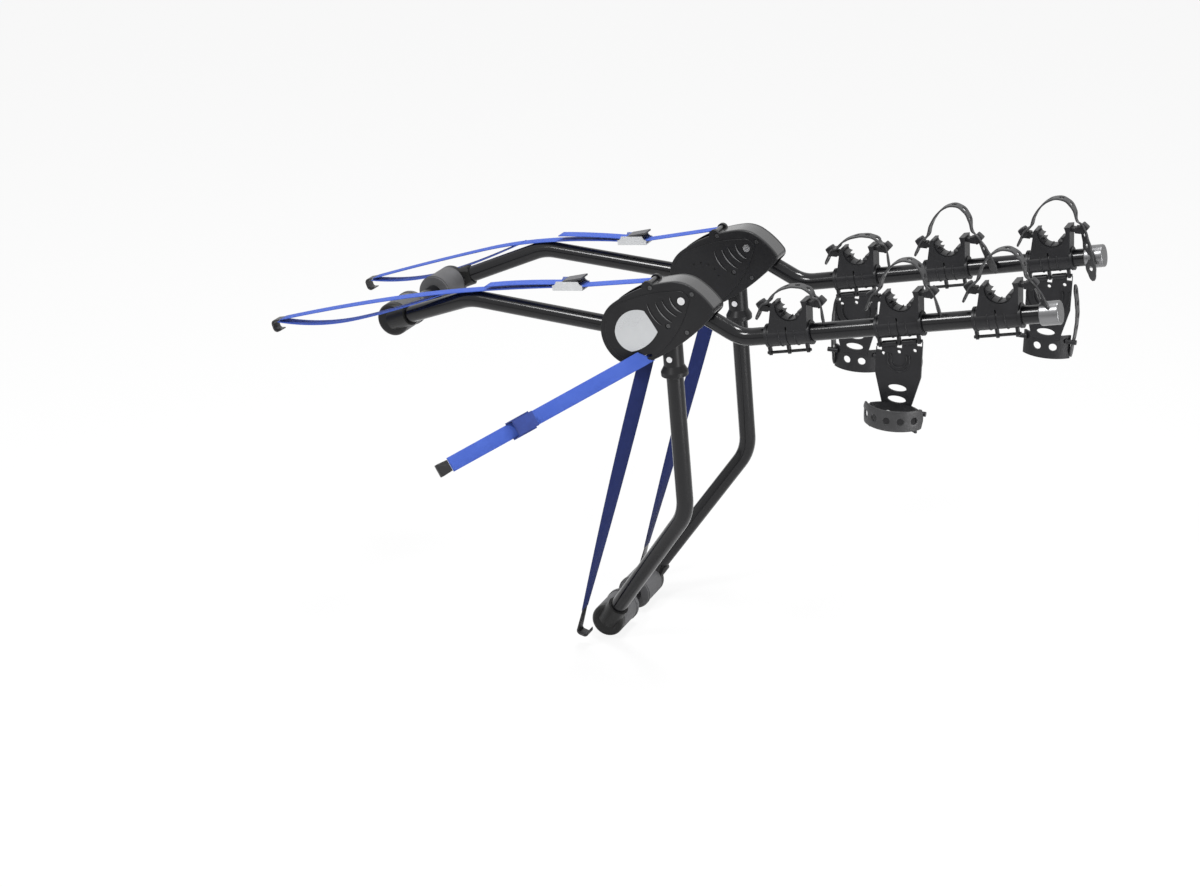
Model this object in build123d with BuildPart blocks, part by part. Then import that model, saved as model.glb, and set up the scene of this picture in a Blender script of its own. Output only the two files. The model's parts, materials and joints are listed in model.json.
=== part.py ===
# Bike rack that straps onto a car's trunk lid. Sizes are in millimetres.
# The origin is the middle of the axis of the two bumper rollers. +X points rearward along
# the hold arms, -X towards the car, +Y to the far side and +Z up.
# Sizes named _x and _z below are measured from the arm pivot, in the middle of a hub.
from build123d import *
import os
from math import radians, tan

os.makedirs("parts", exist_ok=True)

# Main frame
pivot_x = 161.4            # arm pivots behind the bumper rollers
pivot_z = 637.6            # arm pivots above the bumper rollers
half_span = 150.0          # tube planes on each side of the middle plane
tube_r = 14.3
tube_wall = 2.0
fit_gap = 0.05             # radial clearance of pins, sleeves and sockets
side_gap = 0.3             # clearance beside moving faces
cut_over = 5.0             # overrun of every cut

# Hubs: two covers with a band between them
hub_length = 196.0
hub_space = 34.0           # clear width between the two covers
cover_t = 6.5
pad_t = 1.5                # raised field on each cover
band_wall = 3.0
rim_round = 2.0
pad_round = 0.9
groove_w = 3.6
groove_depth = 1.1
badge_t = 1.0
badge_sink = 0.6
screw_r = 3.6
screw_well_r = 4.8
screw_depth = 2.5
screw_rise = 1.2
post_r = 5.0
dot_r = 1.6
dot_depth = 1.2
slot_w = 5.0
pin_r = 5.0
pin_head_r = 6.4
pin_head_t = 1.6
dial_pin_r = 7.0
anchor_r = 3.0
eye_r = 19.5
boss_r = 9.0               # boss with the bar that the upper strap's lead is sewn round
keeper_r = 4.0
keeper_rise = 3.0

# The hub's outline: arcs, each from a corner through a bulge to the next corner
hub_corner_shares = [(-0.616, -0.110), (-0.434, -0.640), (-0.383, -0.629), (0.261, -0.109),
                     (0.260, -0.023), (0.066, 0.1262), (-0.110, 0.1438)]
hub_bulge_shares = [(-0.720, -0.362), (-0.408, -0.638), (-0.075, -0.437), (0.277, -0.066),
                    (0.175, 0.057), (-0.020, 0.150), (-0.340, 0.065)]
pad_corner_shares = [(-0.496, -0.072), (-0.055, 0.074), (0.068, 0.019), (-0.093, -0.367),
                     (-0.252, -0.531), (-0.429, -0.602)]
pad_bulge_shares = [(-0.274, 0.023), (0.028, 0.069), (0.024, -0.148), (-0.168, -0.457),
                    (-0.337, -0.587), (-0.671, -0.378)]
badge_corner_shares = [(-0.585, -0.342), (-0.327, -0.131), (-0.204, -0.296), (-0.431, -0.501)]
badge_bulge_shares = [(-0.495, -0.172), (-0.262, -0.214), (-0.314, -0.440), (-0.540, -0.450)]
groove_start_shares = [(-0.295, -0.066), (-0.221, -0.047), (-0.168, -0.014), (-0.098, 0.021)]
groove_mid_shares = [(-0.250, -0.160), (-0.170, -0.130), (-0.122, -0.082), (-0.068, -0.045)]
groove_end_shares = [(-0.166, -0.230), (-0.078, -0.191), (-0.035, -0.133), (0.008, -0.092)]
screw_shares = [(-0.281, 0.072), (0.087, 0.066), (0.051, -0.268), (-0.113, -0.234)]
slot_end_shares = [(-0.359, -0.547), (-0.252, -0.505)]
band_left_share = -0.340
band_low_share = -0.080
dot_ring_share = 0.165
dot_count = 5
dot_step = 24.0
dial_share = (-0.4031, -0.3520)
anchor_share = (-0.3367, -0.5306)
boss_share = (-0.3112, 0.0765)

# Lower frame: one bent tube from socket to socket, round the bumper rollers
neck_top_x = -26.1
neck_top_z = -64.0
lower_bend_x = 3.9
lower_bend_z = -380.7
lower_bend_r = 75.0
lower_foot_y = 90.0
foot_bend_r = 28.0
neck_length = 66.0
collar_r = 22.5
collar_length = 8.0
flare_length = 10.0
bolt_r = 3.0
bolt_head_r = 5.0
bolt_head_t = 2.5
bolt_down = 42.0

# Rollers, the same on the lower and the upper frame
roller_r = 29.0
roller_length = 63.0
ring_r = 30.2
ring_length = 6.0
ring_inset = 4.0
boot_length = 16.0
boot_round = 7.0
boot_neck_r = 18.5
boot_neck_length = 12.0
lower_roller_end = 100.5   # outer end of a boot from the middle plane
upper_roller_end = 119.0

# Upper frame: turns about the dial pins and leans on the trunk lid
upper_bend_x = -388.7
upper_bend_z = -56.3
upper_bend_y = 147.0
upper_bend_r = 80.0
upper_foot_x = -557.0
upper_foot_z = -129.9
upper_foot_y = 111.0

# Hold arms
arm_start_x = -4.0
arm_start_z = -12.0
arm_bend_x = 95.2
arm_bend_z = -56.4
arm_bend_r = 60.0
arm_end_x = 592.0
arm_end_z = 55.5
cap_r = 18.5
cap_length = 31.0
cap_bore = 21.0
cap_round = 2.5

# Cradles: X of the middle of each barrel, from the arm pivot
near_places = [175.9, 355.0, 508.0]
far_places = [191.0, 345.4, 516.0]
barrel_length = 76.0
barrel_r = 18.0
barrel_groove_w = 2.4
barrel_groove_depth = 1.2
flange_r = 19.4
flange_length = 4.0
saddle_depth = 32.0
saddle_foot = 33.0         # half width of the saddle where it meets the barrel
saddle_top = 57.0          # above the arm's axis
saddle_shoulder = 29.0
throat_r = 23.0
throat_rise = 49.0
finger_w = 7.0
finger_rise = 8.0
finger_step = 13.0
knob_w = 9.0
knob_length = 10.0
knob_depth = 16.0
knob_out = 40.5
knob_up = 53.0
knob_arm = 6.0
rod_r = 2.5
rod_drop = 29.0
lug_t = 4.0
lug_w = 9.0
lug_step = 32.0
lug_room = 8.4             # width of the plate's cut-out round a lug
rod_over = 3.0
hoop_t = 3.0
hoop_w = 20.0
near_hoops = [80.0, 106.0, 109.0]
far_hoops = [74.0, 111.0, 105.0]
tab_out = 9.0
tab_drop = 28.0
tail_out = 10.0
tail_drop = 28.0
hoop_lean_share = 0.30
hoop_rise_share = 0.55
hoop_gap = 0.3

# Anti-sway cages under three cradles
cage_w = 74.0
cage_length = 106.0
cage_t = 4.0
cage_waist = 46.0
knuckle_r = 5.2
knuckle_length = 23.0
rib_t = 2.0
rib_rise = 3.0
oval_w = 30.0
oval_h = 12.0
oval_step = 19.0
clip_hole_r = 3.0
clip_hole_step = 25.0
clip_hole_drop = 15.0
grip_height = 40.0
grip_half = 38.0
grip_depth = 16.0
grip_t = 3.5
grip_hole_r = 6.5
grip_hole_step = 13.0
peg_r = 4.0
peg_length = 12.0
peg_out = 8.0
peg_drop = 9.0
belt_t = 3.0
belt_w = 24.0
belt_bulge = 46.0
belt_half = 47.0
belt_start = 12.85
hang_w = 14.0
hang_top = 14.0
hang_bow = 6.0

# Webbing, hooks and buckles
web_w = 25.0
web_t = 1.5
hook_t = 3.2
hook_w = 22.0
hook_drop = 19.0
hook_lip = 11.0
hook_bend_r = 6.0
upper_shank = 17.0
side_shank = 20.0
lower_shank = 46.0
buckle_length = 54.0
buckle_w = 31.0
buckle_sheet = 2.0
cheek_h = 15.0
floor_drop = 4.0
bar_r = 1.5
bar_inset = 4.0
bar_drop = 1.76
lever_pin_r = 2.5
lever_pin_back = 6.0
lever_pin_up = 6.3
lever_eye_r = 5.0
lever_length = 32.0
lever_t = 3.0
lever_tip = 5.0
side_buckle_length = 42.0
side_buckle_at = 230.0     # from the slot along the side strap

near_buckle_x = -203.8
near_buckle_z = -8.5
far_buckle_x = -216.0
far_buckle_z = -20.0
buckle_slope = 0.13

# Upper straps: a lead from the hub to the buckle, the strap to the hook, the strand that
# comes back from the hook, and the free tail above the strap
upper_webs = {
    "near": {"lead": [(-65.6, 18.4), (-191.8, -6.9)],
             "strap": [(-209.8, -9.3), (-389.0, -38.0), (-640.0, -105.0), (-755.0, -143.5)],
             "loop": [(-758.9, -147.6), (-681.0, -148.0), (-532.0, -98.0), (-432.0, -51.8)],
             "tail": [(-215.6, -5.1), (-300.0, -15.5), (-356.0, -28.6)]},
    "far": {"lead": [(-65.6, 18.4), (-204.0, -18.9)],
            "strap": [(-222.0, -20.8), (-389.0, -34.0), (-620.0, -113.0), (-735.0, -157.0)],
            "loop": [(-738.7, -161.3), (-664.0, -157.0), (-532.0, -107.0), (-432.0, -51.4)],
            "tail": [(-228.0, -16.6), (-300.0, -20.0), (-358.0, -27.6)]},
}
web_bend_share = 0.45      # of the shorter run that each bend of a strap takes up

# Side straps, from the slot in each outer cover to the fender's edge
side_slot_x = -60.0
side_slot_z = -103.0
side_slot_gap = 2.25
side_hook_x = -315.3
side_hook_y = 380.0
side_hook_z = -257.4
side_across_shares = (-0.570, 0.095, 0.816)

# Lower straps, from the anchor pins to the lower edge of the trunk lid
lower_web_x = -67.1
lower_web_z = -107.7
lower_hook_x = -185.0
lower_hook_y = 140.0
lower_hook_z = -597.4

sides = {"near": -1, "far": 1}


# Sketches on this plane read as X and Z from the arm pivot and grow towards the near side
def side_plane(y):
    return Plane(origin=(pivot_x, y, pivot_z), x_dir=(1, 0, 0), z_dir=(0, -1, 0))


def place(x, y, z):
    return Vector(pivot_x + x, y, pivot_z + z)


def keep(block, name):
    block.part.label = name
    export_step(block.part, "parts/" + name + ".step")


# Both sides of a piece that is the same, mirrored, on the far side
def keep_pair(block, name):
    keep(block, name + "_near")
    with BuildPart() as twin:
        mirror(block.part, about=Plane.XZ)
    keep(twin, name + "_far")


def keep_both(block, name):
    with BuildPart() as both:
        add(block.part)
        mirror(about=Plane.XZ)
    keep(both, name)


def on_hub(share):
    return (share[0] * hub_length, share[1] * hub_length)


# A closed outline of arcs, from its corners and the point that each arc passes
def arc_outline(corner_shares, bulge_shares):
    with BuildLine() as outline:
        for i, corner in enumerate(corner_shares):
            following = corner_shares[(i + 1) % len(corner_shares)]
            ThreePointArc(on_hub(corner), on_hub(bulge_shares[i]), on_hub(following))
    return outline.edges()


hub_edges = arc_outline(hub_corner_shares, hub_bulge_shares)
pad_edges = arc_outline(pad_corner_shares, pad_bulge_shares)
badge_edges = arc_outline(badge_corner_shares, badge_bulge_shares)
screw_points = [on_hub(share) for share in screw_shares]
dial_x, dial_z = on_hub(dial_share)
anchor_x, anchor_z = on_hub(anchor_share)
boss_x, boss_z = on_hub(boss_share)
inner_y = half_span - hub_space / 2
outer_y = half_span + hub_space / 2
cover_total = cover_t + pad_t


# One cover of the near hub. It stands at y and grows outward (1) or inward (-1).
def hub_cover(y, grow, badge_pocket):
    with BuildPart() as cover:
        with BuildSketch(side_plane(y)):
            make_face(hub_edges)
        extrude(amount=grow * cover_t)
        face = cover.faces().filter_by(Axis.Y).sort_by(Axis.Y)[0 if grow > 0 else -1]
        fillet(face.edges(), rim_round)
        with BuildSketch(side_plane(y - grow * cover_t)):
            make_face(pad_edges)
        extrude(amount=grow * pad_t)
        face = cover.faces().filter_by(Axis.Y).sort_by(Axis.Y)[0 if grow > 0 else -1]
        fillet(face.edges(), pad_round)
        with BuildSketch(side_plane(y)):
            with Locations((boss_x, boss_z)):
                Circle(boss_r)
        extrude(amount=grow * cover_t)
        # Four curved grooves
        for start, mid, end in zip(groove_start_shares, groove_mid_shares, groove_end_shares):
            with BuildSketch(side_plane(y - grow * (cover_total - groove_depth))):
                with BuildLine():
                    ThreePointArc(on_hub(start), on_hub(mid), on_hub(end))
                trace(line_width=groove_w)
            extrude(amount=grow * cut_over, mode=Mode.SUBTRACT)
        # Wells for the screw heads
        with BuildSketch(side_plane(y - grow * (cover_total - screw_depth))):
            with Locations(*screw_points):
                Circle(screw_well_r)
        extrude(amount=grow * cut_over, mode=Mode.SUBTRACT)
        # Screw holes, pivot holes and the slot for the straps
        with BuildSketch(side_plane(y - grow * (cover_total + cut_over))):
            Circle(pin_r + fit_gap)
            with Locations((anchor_x, anchor_z)):
                Circle(anchor_r + fit_gap)
        extrude(amount=-grow * (cover_total + 2 * cut_over), mode=Mode.SUBTRACT)
        with BuildSketch(side_plane(y + grow * cut_over)):
            with Locations((dial_x, dial_z)):
                Circle(dial_pin_r + fit_gap)
        extrude(amount=grow * (cut_over + cover_t), mode=Mode.SUBTRACT)
        if badge_pocket:
            with BuildSketch(side_plane(y - grow * (cover_total - badge_sink))):
                make_face(badge_edges)
            extrude(amount=grow * cut_over, mode=Mode.SUBTRACT)
            with BuildSketch(side_plane(y + grow * cut_over)):
                with BuildLine():
                    Line(on_hub(slot_end_shares[0]), on_hub(slot_end_shares[1]))
                trace(line_width=slot_w)
            extrude(amount=grow * (cover_total + 2 * cut_over), mode=Mode.SUBTRACT)
        else:
            # Marks of the dial, in an arc about its pin
            ring = dot_ring_share * hub_length
            with BuildSketch(side_plane(y - grow * (cover_total - dot_depth))):
                with Locations((dial_x, dial_z)):
                    with PolarLocations(ring, dot_count, start_angle=dot_step,
                                        angular_range=dot_step * dot_count):
                        Circle(dot_r)
            extrude(amount=grow * cut_over, mode=Mode.SUBTRACT)
            # Post that the last screw of the other cover reaches
            with BuildSketch(side_plane(y)):
                with Locations(screw_points[-1]):
                    Circle(post_r)
            extrude(amount=-grow * hub_space)
    return cover


keep_pair(hub_cover(-outer_y, 1, True), "hub_outer_cover")
keep_pair(hub_cover(-inner_y, -1, False), "hub_inner_cover")

# Band over the top of each hub, from the strap keeper to the rear point
with BuildPart() as band:
    with BuildSketch(side_plane(-inner_y)):
        make_face(hub_edges)
        offset(amount=-band_wall, mode=Mode.SUBTRACT)
        with Locations(on_hub((band_left_share, band_low_share))):
            Rectangle(hub_length, hub_length, align=(Align.MIN, Align.MIN), mode=Mode.INTERSECT)
    extrude(amount=hub_space)
    with BuildSketch(side_plane(-inner_y)):
        with Locations((boss_x, boss_z + keeper_rise)):
            Circle(keeper_r)
    extrude(amount=hub_space)
keep_both(band, "hub_bands")

# Bare badge plates
with BuildPart() as badge:
    with BuildSketch(side_plane(-(outer_y + cover_total - badge_sink))):
        make_face(badge_edges)
    extrude(amount=badge_t)
keep_both(badge, "hub_badges")

# Screw heads in the wells of all four covers
with BuildPart() as screws:
    for y, grow in ((-outer_y, 1), (-inner_y, -1)):
        with BuildSketch(side_plane(y - grow * (cover_total - screw_depth))):
            with Locations(*screw_points):
                Circle(screw_r)
                RegularPolygon(screw_r / 2, 6, mode=Mode.SUBTRACT)
        extrude(amount=grow * screw_rise)
        with BuildSketch(side_plane(y - grow * (cover_total - screw_depth))):
            with Locations(*screw_points):
                Circle(screw_r)
        extrude(amount=grow * screw_rise / 2)
keep_both(screws, "hub_screws")

# Pivot pins: the rivet of each arm, with a head on both covers, and the plain dial pin
with BuildPart() as pins:
    for y, grow in ((-outer_y, 1), (-inner_y, -1)):
        with BuildSketch(side_plane(y - grow * cover_total)):
            Circle(pin_head_r)
        extrude(amount=grow * pin_head_t)
    with BuildSketch(side_plane(-inner_y + cover_total)):
        Circle(pin_r)
    extrude(amount=hub_space + 2 * cover_total)
    with BuildSketch(side_plane(-inner_y + cover_t)):
        with Locations((dial_x, dial_z)):
            Circle(dial_pin_r)
    extrude(amount=hub_space + 2 * cover_t)
keep_both(pins, "pivot_pins")

# Pins that hold the side and lower straps inside each hub
with BuildPart() as anchor:
    with BuildSketch(side_plane(-inner_y + cover_total)):
        with Locations((anchor_x, anchor_z)):
            Circle(anchor_r)
    extrude(amount=hub_space + 2 * cover_total)
keep_both(anchor, "strap_anchor_pins")


# A round bar along straight runs and arcs. A wall of zero makes it solid.
def bent_bar(points, radii, r, wall):
    with BuildPart() as bar:
        with BuildLine() as route:
            FilletPolyline(*points, radius=radii)
        with BuildSketch(Plane(origin=route.line @ 0, z_dir=route.line % 0)):
            Circle(r)
            if wall > 0:
                Circle(r - wall, mode=Mode.SUBTRACT)
        sweep()
    return bar


# Lower frame
neck_start = place(neck_top_x, -half_span, neck_top_z)
lower_bend = place(lower_bend_x, -half_span, lower_bend_z)
neck_run = (lower_bend - neck_start).normalized()
bolt_at = neck_start + neck_run * bolt_down


def mirrored(point):
    return Vector(point.X, -point.Y, point.Z)


lower_half = [neck_start, lower_bend, Vector(0, -lower_foot_y, 0)]
lower_route = lower_half + [mirrored(point) for point in reversed(lower_half)]
lower_radii = [lower_bend_r, foot_bend_r, foot_bend_r, lower_bend_r]
lower_space = bent_bar(lower_route, lower_radii, tube_r + fit_gap, 0)
lower_bar = bent_bar(lower_route, lower_radii, tube_r, tube_wall)
with BuildPart() as lower_tube:
    add(lower_bar.part)
    for side in sides.values():
        start = Vector(bolt_at.X, side * (half_span + collar_r), bolt_at.Z)
        with BuildSketch(Plane(origin=start, z_dir=(0, -side, 0))):
            Circle(bolt_r + fit_gap)
        extrude(amount=2 * collar_r, mode=Mode.SUBTRACT)
keep(lower_tube, "lower_frame_tube")

# Sockets: a neck between the covers with a flared collar below the hub
neck_r = hub_space / 2 - fit_gap
with BuildPart() as socket:
    with BuildSketch(Plane(origin=neck_start, z_dir=neck_run)):
        Circle(neck_r)
    extrude(amount=neck_length)
    flare_start = neck_start + neck_run * (neck_length - flare_length)
    with BuildSketch(Plane(origin=flare_start, z_dir=neck_run)):
        Circle(neck_r)
    with BuildSketch(Plane(origin=flare_start + neck_run * flare_length, z_dir=neck_run)):
        Circle(collar_r)
    loft()
    with BuildSketch(Plane(origin=neck_start + neck_run * neck_length, z_dir=neck_run)):
        Circle(collar_r)
    extrude(amount=collar_length)
    fillet(socket.edges().filter_by(GeomType.CIRCLE).sort_by(Axis.Z)[0], rim_round)
    add(lower_space.part, mode=Mode.SUBTRACT)
    with BuildSketch(Plane(origin=bolt_at - Vector(0, collar_r, 0), z_dir=(0, 1, 0))):
        Circle(bolt_r + fit_gap)
    extrude(amount=2 * collar_r, mode=Mode.SUBTRACT)
    for side in sides.values():
        flat_at = Vector(bolt_at.X, bolt_at.Y + side * (neck_r - bolt_head_t / 2), bolt_at.Z)
        with BuildSketch(Plane(origin=flat_at, z_dir=(0, side, 0))):
            Circle(bolt_head_r + side_gap)
        extrude(amount=cut_over, mode=Mode.SUBTRACT)
keep_both(socket, "lower_sockets")

with BuildPart() as bolt:
    for side in sides.values():
        head_at = Vector(bolt_at.X, bolt_at.Y + side * (neck_r - bolt_head_t / 2), bolt_at.Z)
        with BuildSketch(Plane(origin=head_at, z_dir=(0, side, 0))):
            Circle(bolt_head_r)
        extrude(amount=bolt_head_t)
    with BuildSketch(Plane(origin=bolt_at - Vector(0, neck_r, 0), z_dir=(0, 1, 0))):
        Circle(bolt_r)
    extrude(amount=2 * neck_r)
keep_both(bolt, "socket_bolts")

# Upper frame
upper_start = place(dial_x, -half_span, dial_z)
upper_bend = place(upper_bend_x, -upper_bend_y, upper_bend_z)
upper_foot = place(upper_foot_x, -upper_foot_y, upper_foot_z)
upper_half = [upper_start, upper_bend, upper_foot]
upper_route = upper_half + [mirrored(point) for point in reversed(upper_half)]
upper_radii = [upper_bend_r, foot_bend_r, foot_bend_r, upper_bend_r]
upper_space = bent_bar(upper_route, upper_radii, tube_r + fit_gap, 0)
upper_bar = bent_bar(upper_route, upper_radii, tube_r, tube_wall)
eye_w = hub_space - 2 * side_gap
with BuildPart() as upper_tube:
    add(upper_bar.part)
    for side in sides.values():
        with BuildSketch(side_plane(side * half_span)):
            with Locations((dial_x, dial_z)):
                Circle(eye_r)
        extrude(amount=eye_w / 2, both=True)
        with BuildSketch(side_plane(side * half_span)):
            with Locations((dial_x, dial_z)):
                Circle(dial_pin_r + fit_gap)
        extrude(amount=hub_space, both=True, mode=Mode.SUBTRACT)
keep(upper_tube, "upper_frame_tube")


# Rubber sleeve on the cross part of a frame. foot is the middle of the roller axis.
def roller(foot, boot_end, space):
    start = foot - Vector(0, boot_end - boot_length, 0)
    with BuildPart() as sleeve:
        with BuildSketch(Plane(origin=start, z_dir=(0, 1, 0))):
            Circle(roller_r)
        extrude(amount=roller_length)
        ring_at = start + Vector(0, roller_length - ring_inset - ring_length, 0)
        with BuildSketch(Plane(origin=ring_at, z_dir=(0, 1, 0))):
            Circle(ring_r)
        extrude(amount=ring_length)
        add(space.part, mode=Mode.SUBTRACT)
    return sleeve


# Moulded boot over the outer corner, with a short neck up the leg
def boot(foot, boot_end, leg_from, corner_y, space):
    corner = foot - Vector(0, corner_y, 0)
    leg = (leg_from - corner).normalized()
    with BuildPart() as cover:
        with BuildSketch(Plane(origin=foot - Vector(0, boot_end - boot_length, 0),
                               z_dir=(0, -1, 0))):
            Circle(roller_r)
        extrude(amount=boot_length)
        fillet(cover.edges().filter_by(GeomType.CIRCLE).sort_by(Axis.Y)[0], boot_round)
        with BuildSketch(Plane(origin=corner, z_dir=leg)):
            Circle(boot_neck_r)
        extrude(amount=roller_r + boot_neck_length)
        inside = foot - Vector(0, boot_end - boot_length, 0)
        with BuildSketch(Plane(origin=inside, z_dir=(0, 1, 0))):
            Rectangle(4 * roller_r, 4 * roller_r)
        extrude(amount=roller_r, mode=Mode.SUBTRACT)
        add(space.part, mode=Mode.SUBTRACT)
    return cover


lower_foot = Vector(0, 0, 0)
keep_both(roller(lower_foot, lower_roller_end, lower_space), "lower_foot_rollers")
keep_both(boot(lower_foot, lower_roller_end, lower_bend, lower_foot_y, lower_space),
          "lower_foot_boots")
upper_middle = place(upper_foot_x, 0, upper_foot_z)
keep_both(roller(upper_middle, upper_roller_end, upper_space), "upper_foot_rollers")
keep_both(boot(upper_middle, upper_roller_end, upper_bend, upper_foot_y, upper_space),
          "upper_foot_boots")

# Hold arms and their end caps
arm_start = place(arm_start_x, -half_span, arm_start_z)
arm_bend = place(arm_bend_x, -half_span, arm_bend_z)
arm_end = place(arm_end_x, -half_span, arm_end_z)
arm_run = (arm_end - arm_bend).normalized()
arm_slope = arm_run.Z / arm_run.X
arm_bar = bent_bar([arm_start, arm_bend, arm_end], [arm_bend_r], tube_r, tube_wall)
with BuildPart() as arm:
    add(arm_bar.part)
    with BuildSketch(side_plane(-half_span)):
        Circle(eye_r)
    extrude(amount=eye_w / 2, both=True)
    with BuildSketch(side_plane(-half_span)):
        Circle(pin_r + fit_gap)
    extrude(amount=hub_space, both=True, mode=Mode.SUBTRACT)
keep_pair(arm, "hold_arm")

with BuildPart() as cap:
    with BuildSketch(Plane(origin=arm_end - arm_run * cap_bore, z_dir=arm_run)):
        Circle(cap_r)
    extrude(amount=cap_length)
    fillet(cap.edges().filter_by(GeomType.CIRCLE), cap_round)
    with BuildSketch(Plane(origin=arm_end - arm_run * (cap_bore + cut_over), z_dir=arm_run)):
        Circle(tube_r + fit_gap)
    extrude(amount=cap_bore + cut_over, mode=Mode.SUBTRACT)
keep_pair(cap, "arm_end_cap")


# Height of the arm's axis at a distance x behind the pivot, on the straight run
def axis_z(x):
    return arm_bend_z + (x - arm_bend_x) * arm_slope


# Cradle body: a barrel that slides on the arm, an upright saddle on it, knobs for the
# hoop and a rod in three lugs below. Its walls stand upright on the sloping barrel.
def cradle(x, y):
    middle = place(x, y, axis_z(x))
    z = axis_z(x)
    with BuildPart() as body:
        with BuildSketch(Plane(origin=middle, z_dir=arm_run)):
            Circle(barrel_r)
        extrude(amount=barrel_length / 2, both=True)
        for end in (-1, 1):
            flange_at = middle + arm_run * (end * (barrel_length - flange_length) / 2)
            with BuildSketch(Plane(origin=flange_at, z_dir=arm_run)):
                Circle(flange_r)
            extrude(amount=flange_length / 2, both=True)
        with BuildSketch(side_plane(y)):
            with BuildLine():
                Polyline((x - saddle_foot, z - saddle_foot * arm_slope),
                         (x - saddle_shoulder, z + saddle_top - saddle_shoulder * arm_slope),
                         (x + saddle_shoulder, z + saddle_top + saddle_shoulder * arm_slope),
                         (x + saddle_foot, z + saddle_foot * arm_slope),
                         close=True)
            make_face()
            with Locations((x, z + throat_rise)):
                Circle(throat_r, mode=Mode.SUBTRACT)
        extrude(amount=saddle_depth / 2, both=True)
        # Soft fingers on the bottom of the throat
        with BuildSketch(side_plane(y)):
            for i in (-1, 0, 1):
                foot_x = x + i * finger_step
                foot_z = z + throat_rise - throat_r - finger_w / 2 + abs(i) * finger_w / 2
                with BuildLine():
                    Polyline((foot_x - finger_w / 2, foot_z),
                             (foot_x, foot_z + finger_rise),
                             (foot_x + finger_w / 2, foot_z),
                             close=True)
                make_face()
        extrude(amount=saddle_depth / 3, both=True)
        # Knobs, each on a short arm from the saddle's shoulder
        with BuildSketch(side_plane(y)):
            for i in (-1, 1):
                knob_z = z + knob_up + i * knob_out * arm_slope
                with Locations((x + i * (saddle_shoulder + knob_out) / 2, knob_z - knob_length / 2)):
                    Rectangle(knob_out - saddle_shoulder + knob_w / 2, knob_arm)
                with Locations((x + i * knob_out, knob_z - knob_length / 2)):
                    Rectangle(knob_w, knob_length)
        extrude(amount=knob_depth / 2, both=True)
        # Lugs and the bore for the arm
        rod_at = middle - Vector(0, 0, rod_drop)
        for i in (-1, 0, 1):
            lug_at = rod_at + arm_run * (i * lug_step)
            with BuildSketch(Plane(origin=lug_at, x_dir=(0, 1, 0), z_dir=arm_run)):
                Circle(lug_w / 2)
                with Locations((0, rod_drop / 2)):
                    Rectangle(lug_w, rod_drop)
                Circle(rod_r + fit_gap, mode=Mode.SUBTRACT)
            extrude(amount=lug_t / 2, both=True)
        with BuildSketch(Plane(origin=middle, z_dir=arm_run)):
            Circle(tube_r + fit_gap)
        extrude(amount=barrel_length, both=True, mode=Mode.SUBTRACT)
        with BuildSketch(Plane(origin=middle, z_dir=arm_run)):
            Circle(barrel_r + cut_over)
            Circle(barrel_r - barrel_groove_depth, mode=Mode.SUBTRACT)
        extrude(amount=barrel_groove_w / 2, both=True, mode=Mode.SUBTRACT)
        # Rod through the lugs
        with BuildSketch(Plane(origin=rod_at, z_dir=arm_run)):
            Circle(rod_r)
        extrude(amount=lug_step + lug_t / 2 + rod_over, both=True)
    return body


# Rubber hoop: over both knobs, with a tab on the left and a free tail on the right
def hoop(x, y, height):
    z = axis_z(x)
    left_z = z + knob_up - knob_out * arm_slope + hoop_gap + hoop_t / 2
    right_z = z + knob_up + knob_out * arm_slope + hoop_gap + hoop_t / 2
    out = knob_out + knob_w / 2 + hoop_gap + hoop_t / 2
    climb = height - knob_up
    shoulder = knob_out - climb * hoop_lean_share
    lift = climb * hoop_rise_share
    with BuildPart() as strap:
        with BuildSketch(side_plane(y)):
            with BuildLine():
                Polyline((x - out - tab_out, left_z - tab_drop),
                         (x - out, left_z),
                         (x - shoulder, left_z + lift))
                ThreePointArc((x - shoulder, left_z + lift),
                              (x, z + height),
                              (x + shoulder, right_z + lift))
                Polyline((x + shoulder, right_z + lift),
                         (x + out, right_z),
                         (x + out + tail_out, right_z - tail_drop))
            trace(line_width=hoop_t)
        extrude(amount=hoop_w / 2, both=True)
    return strap


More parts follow.
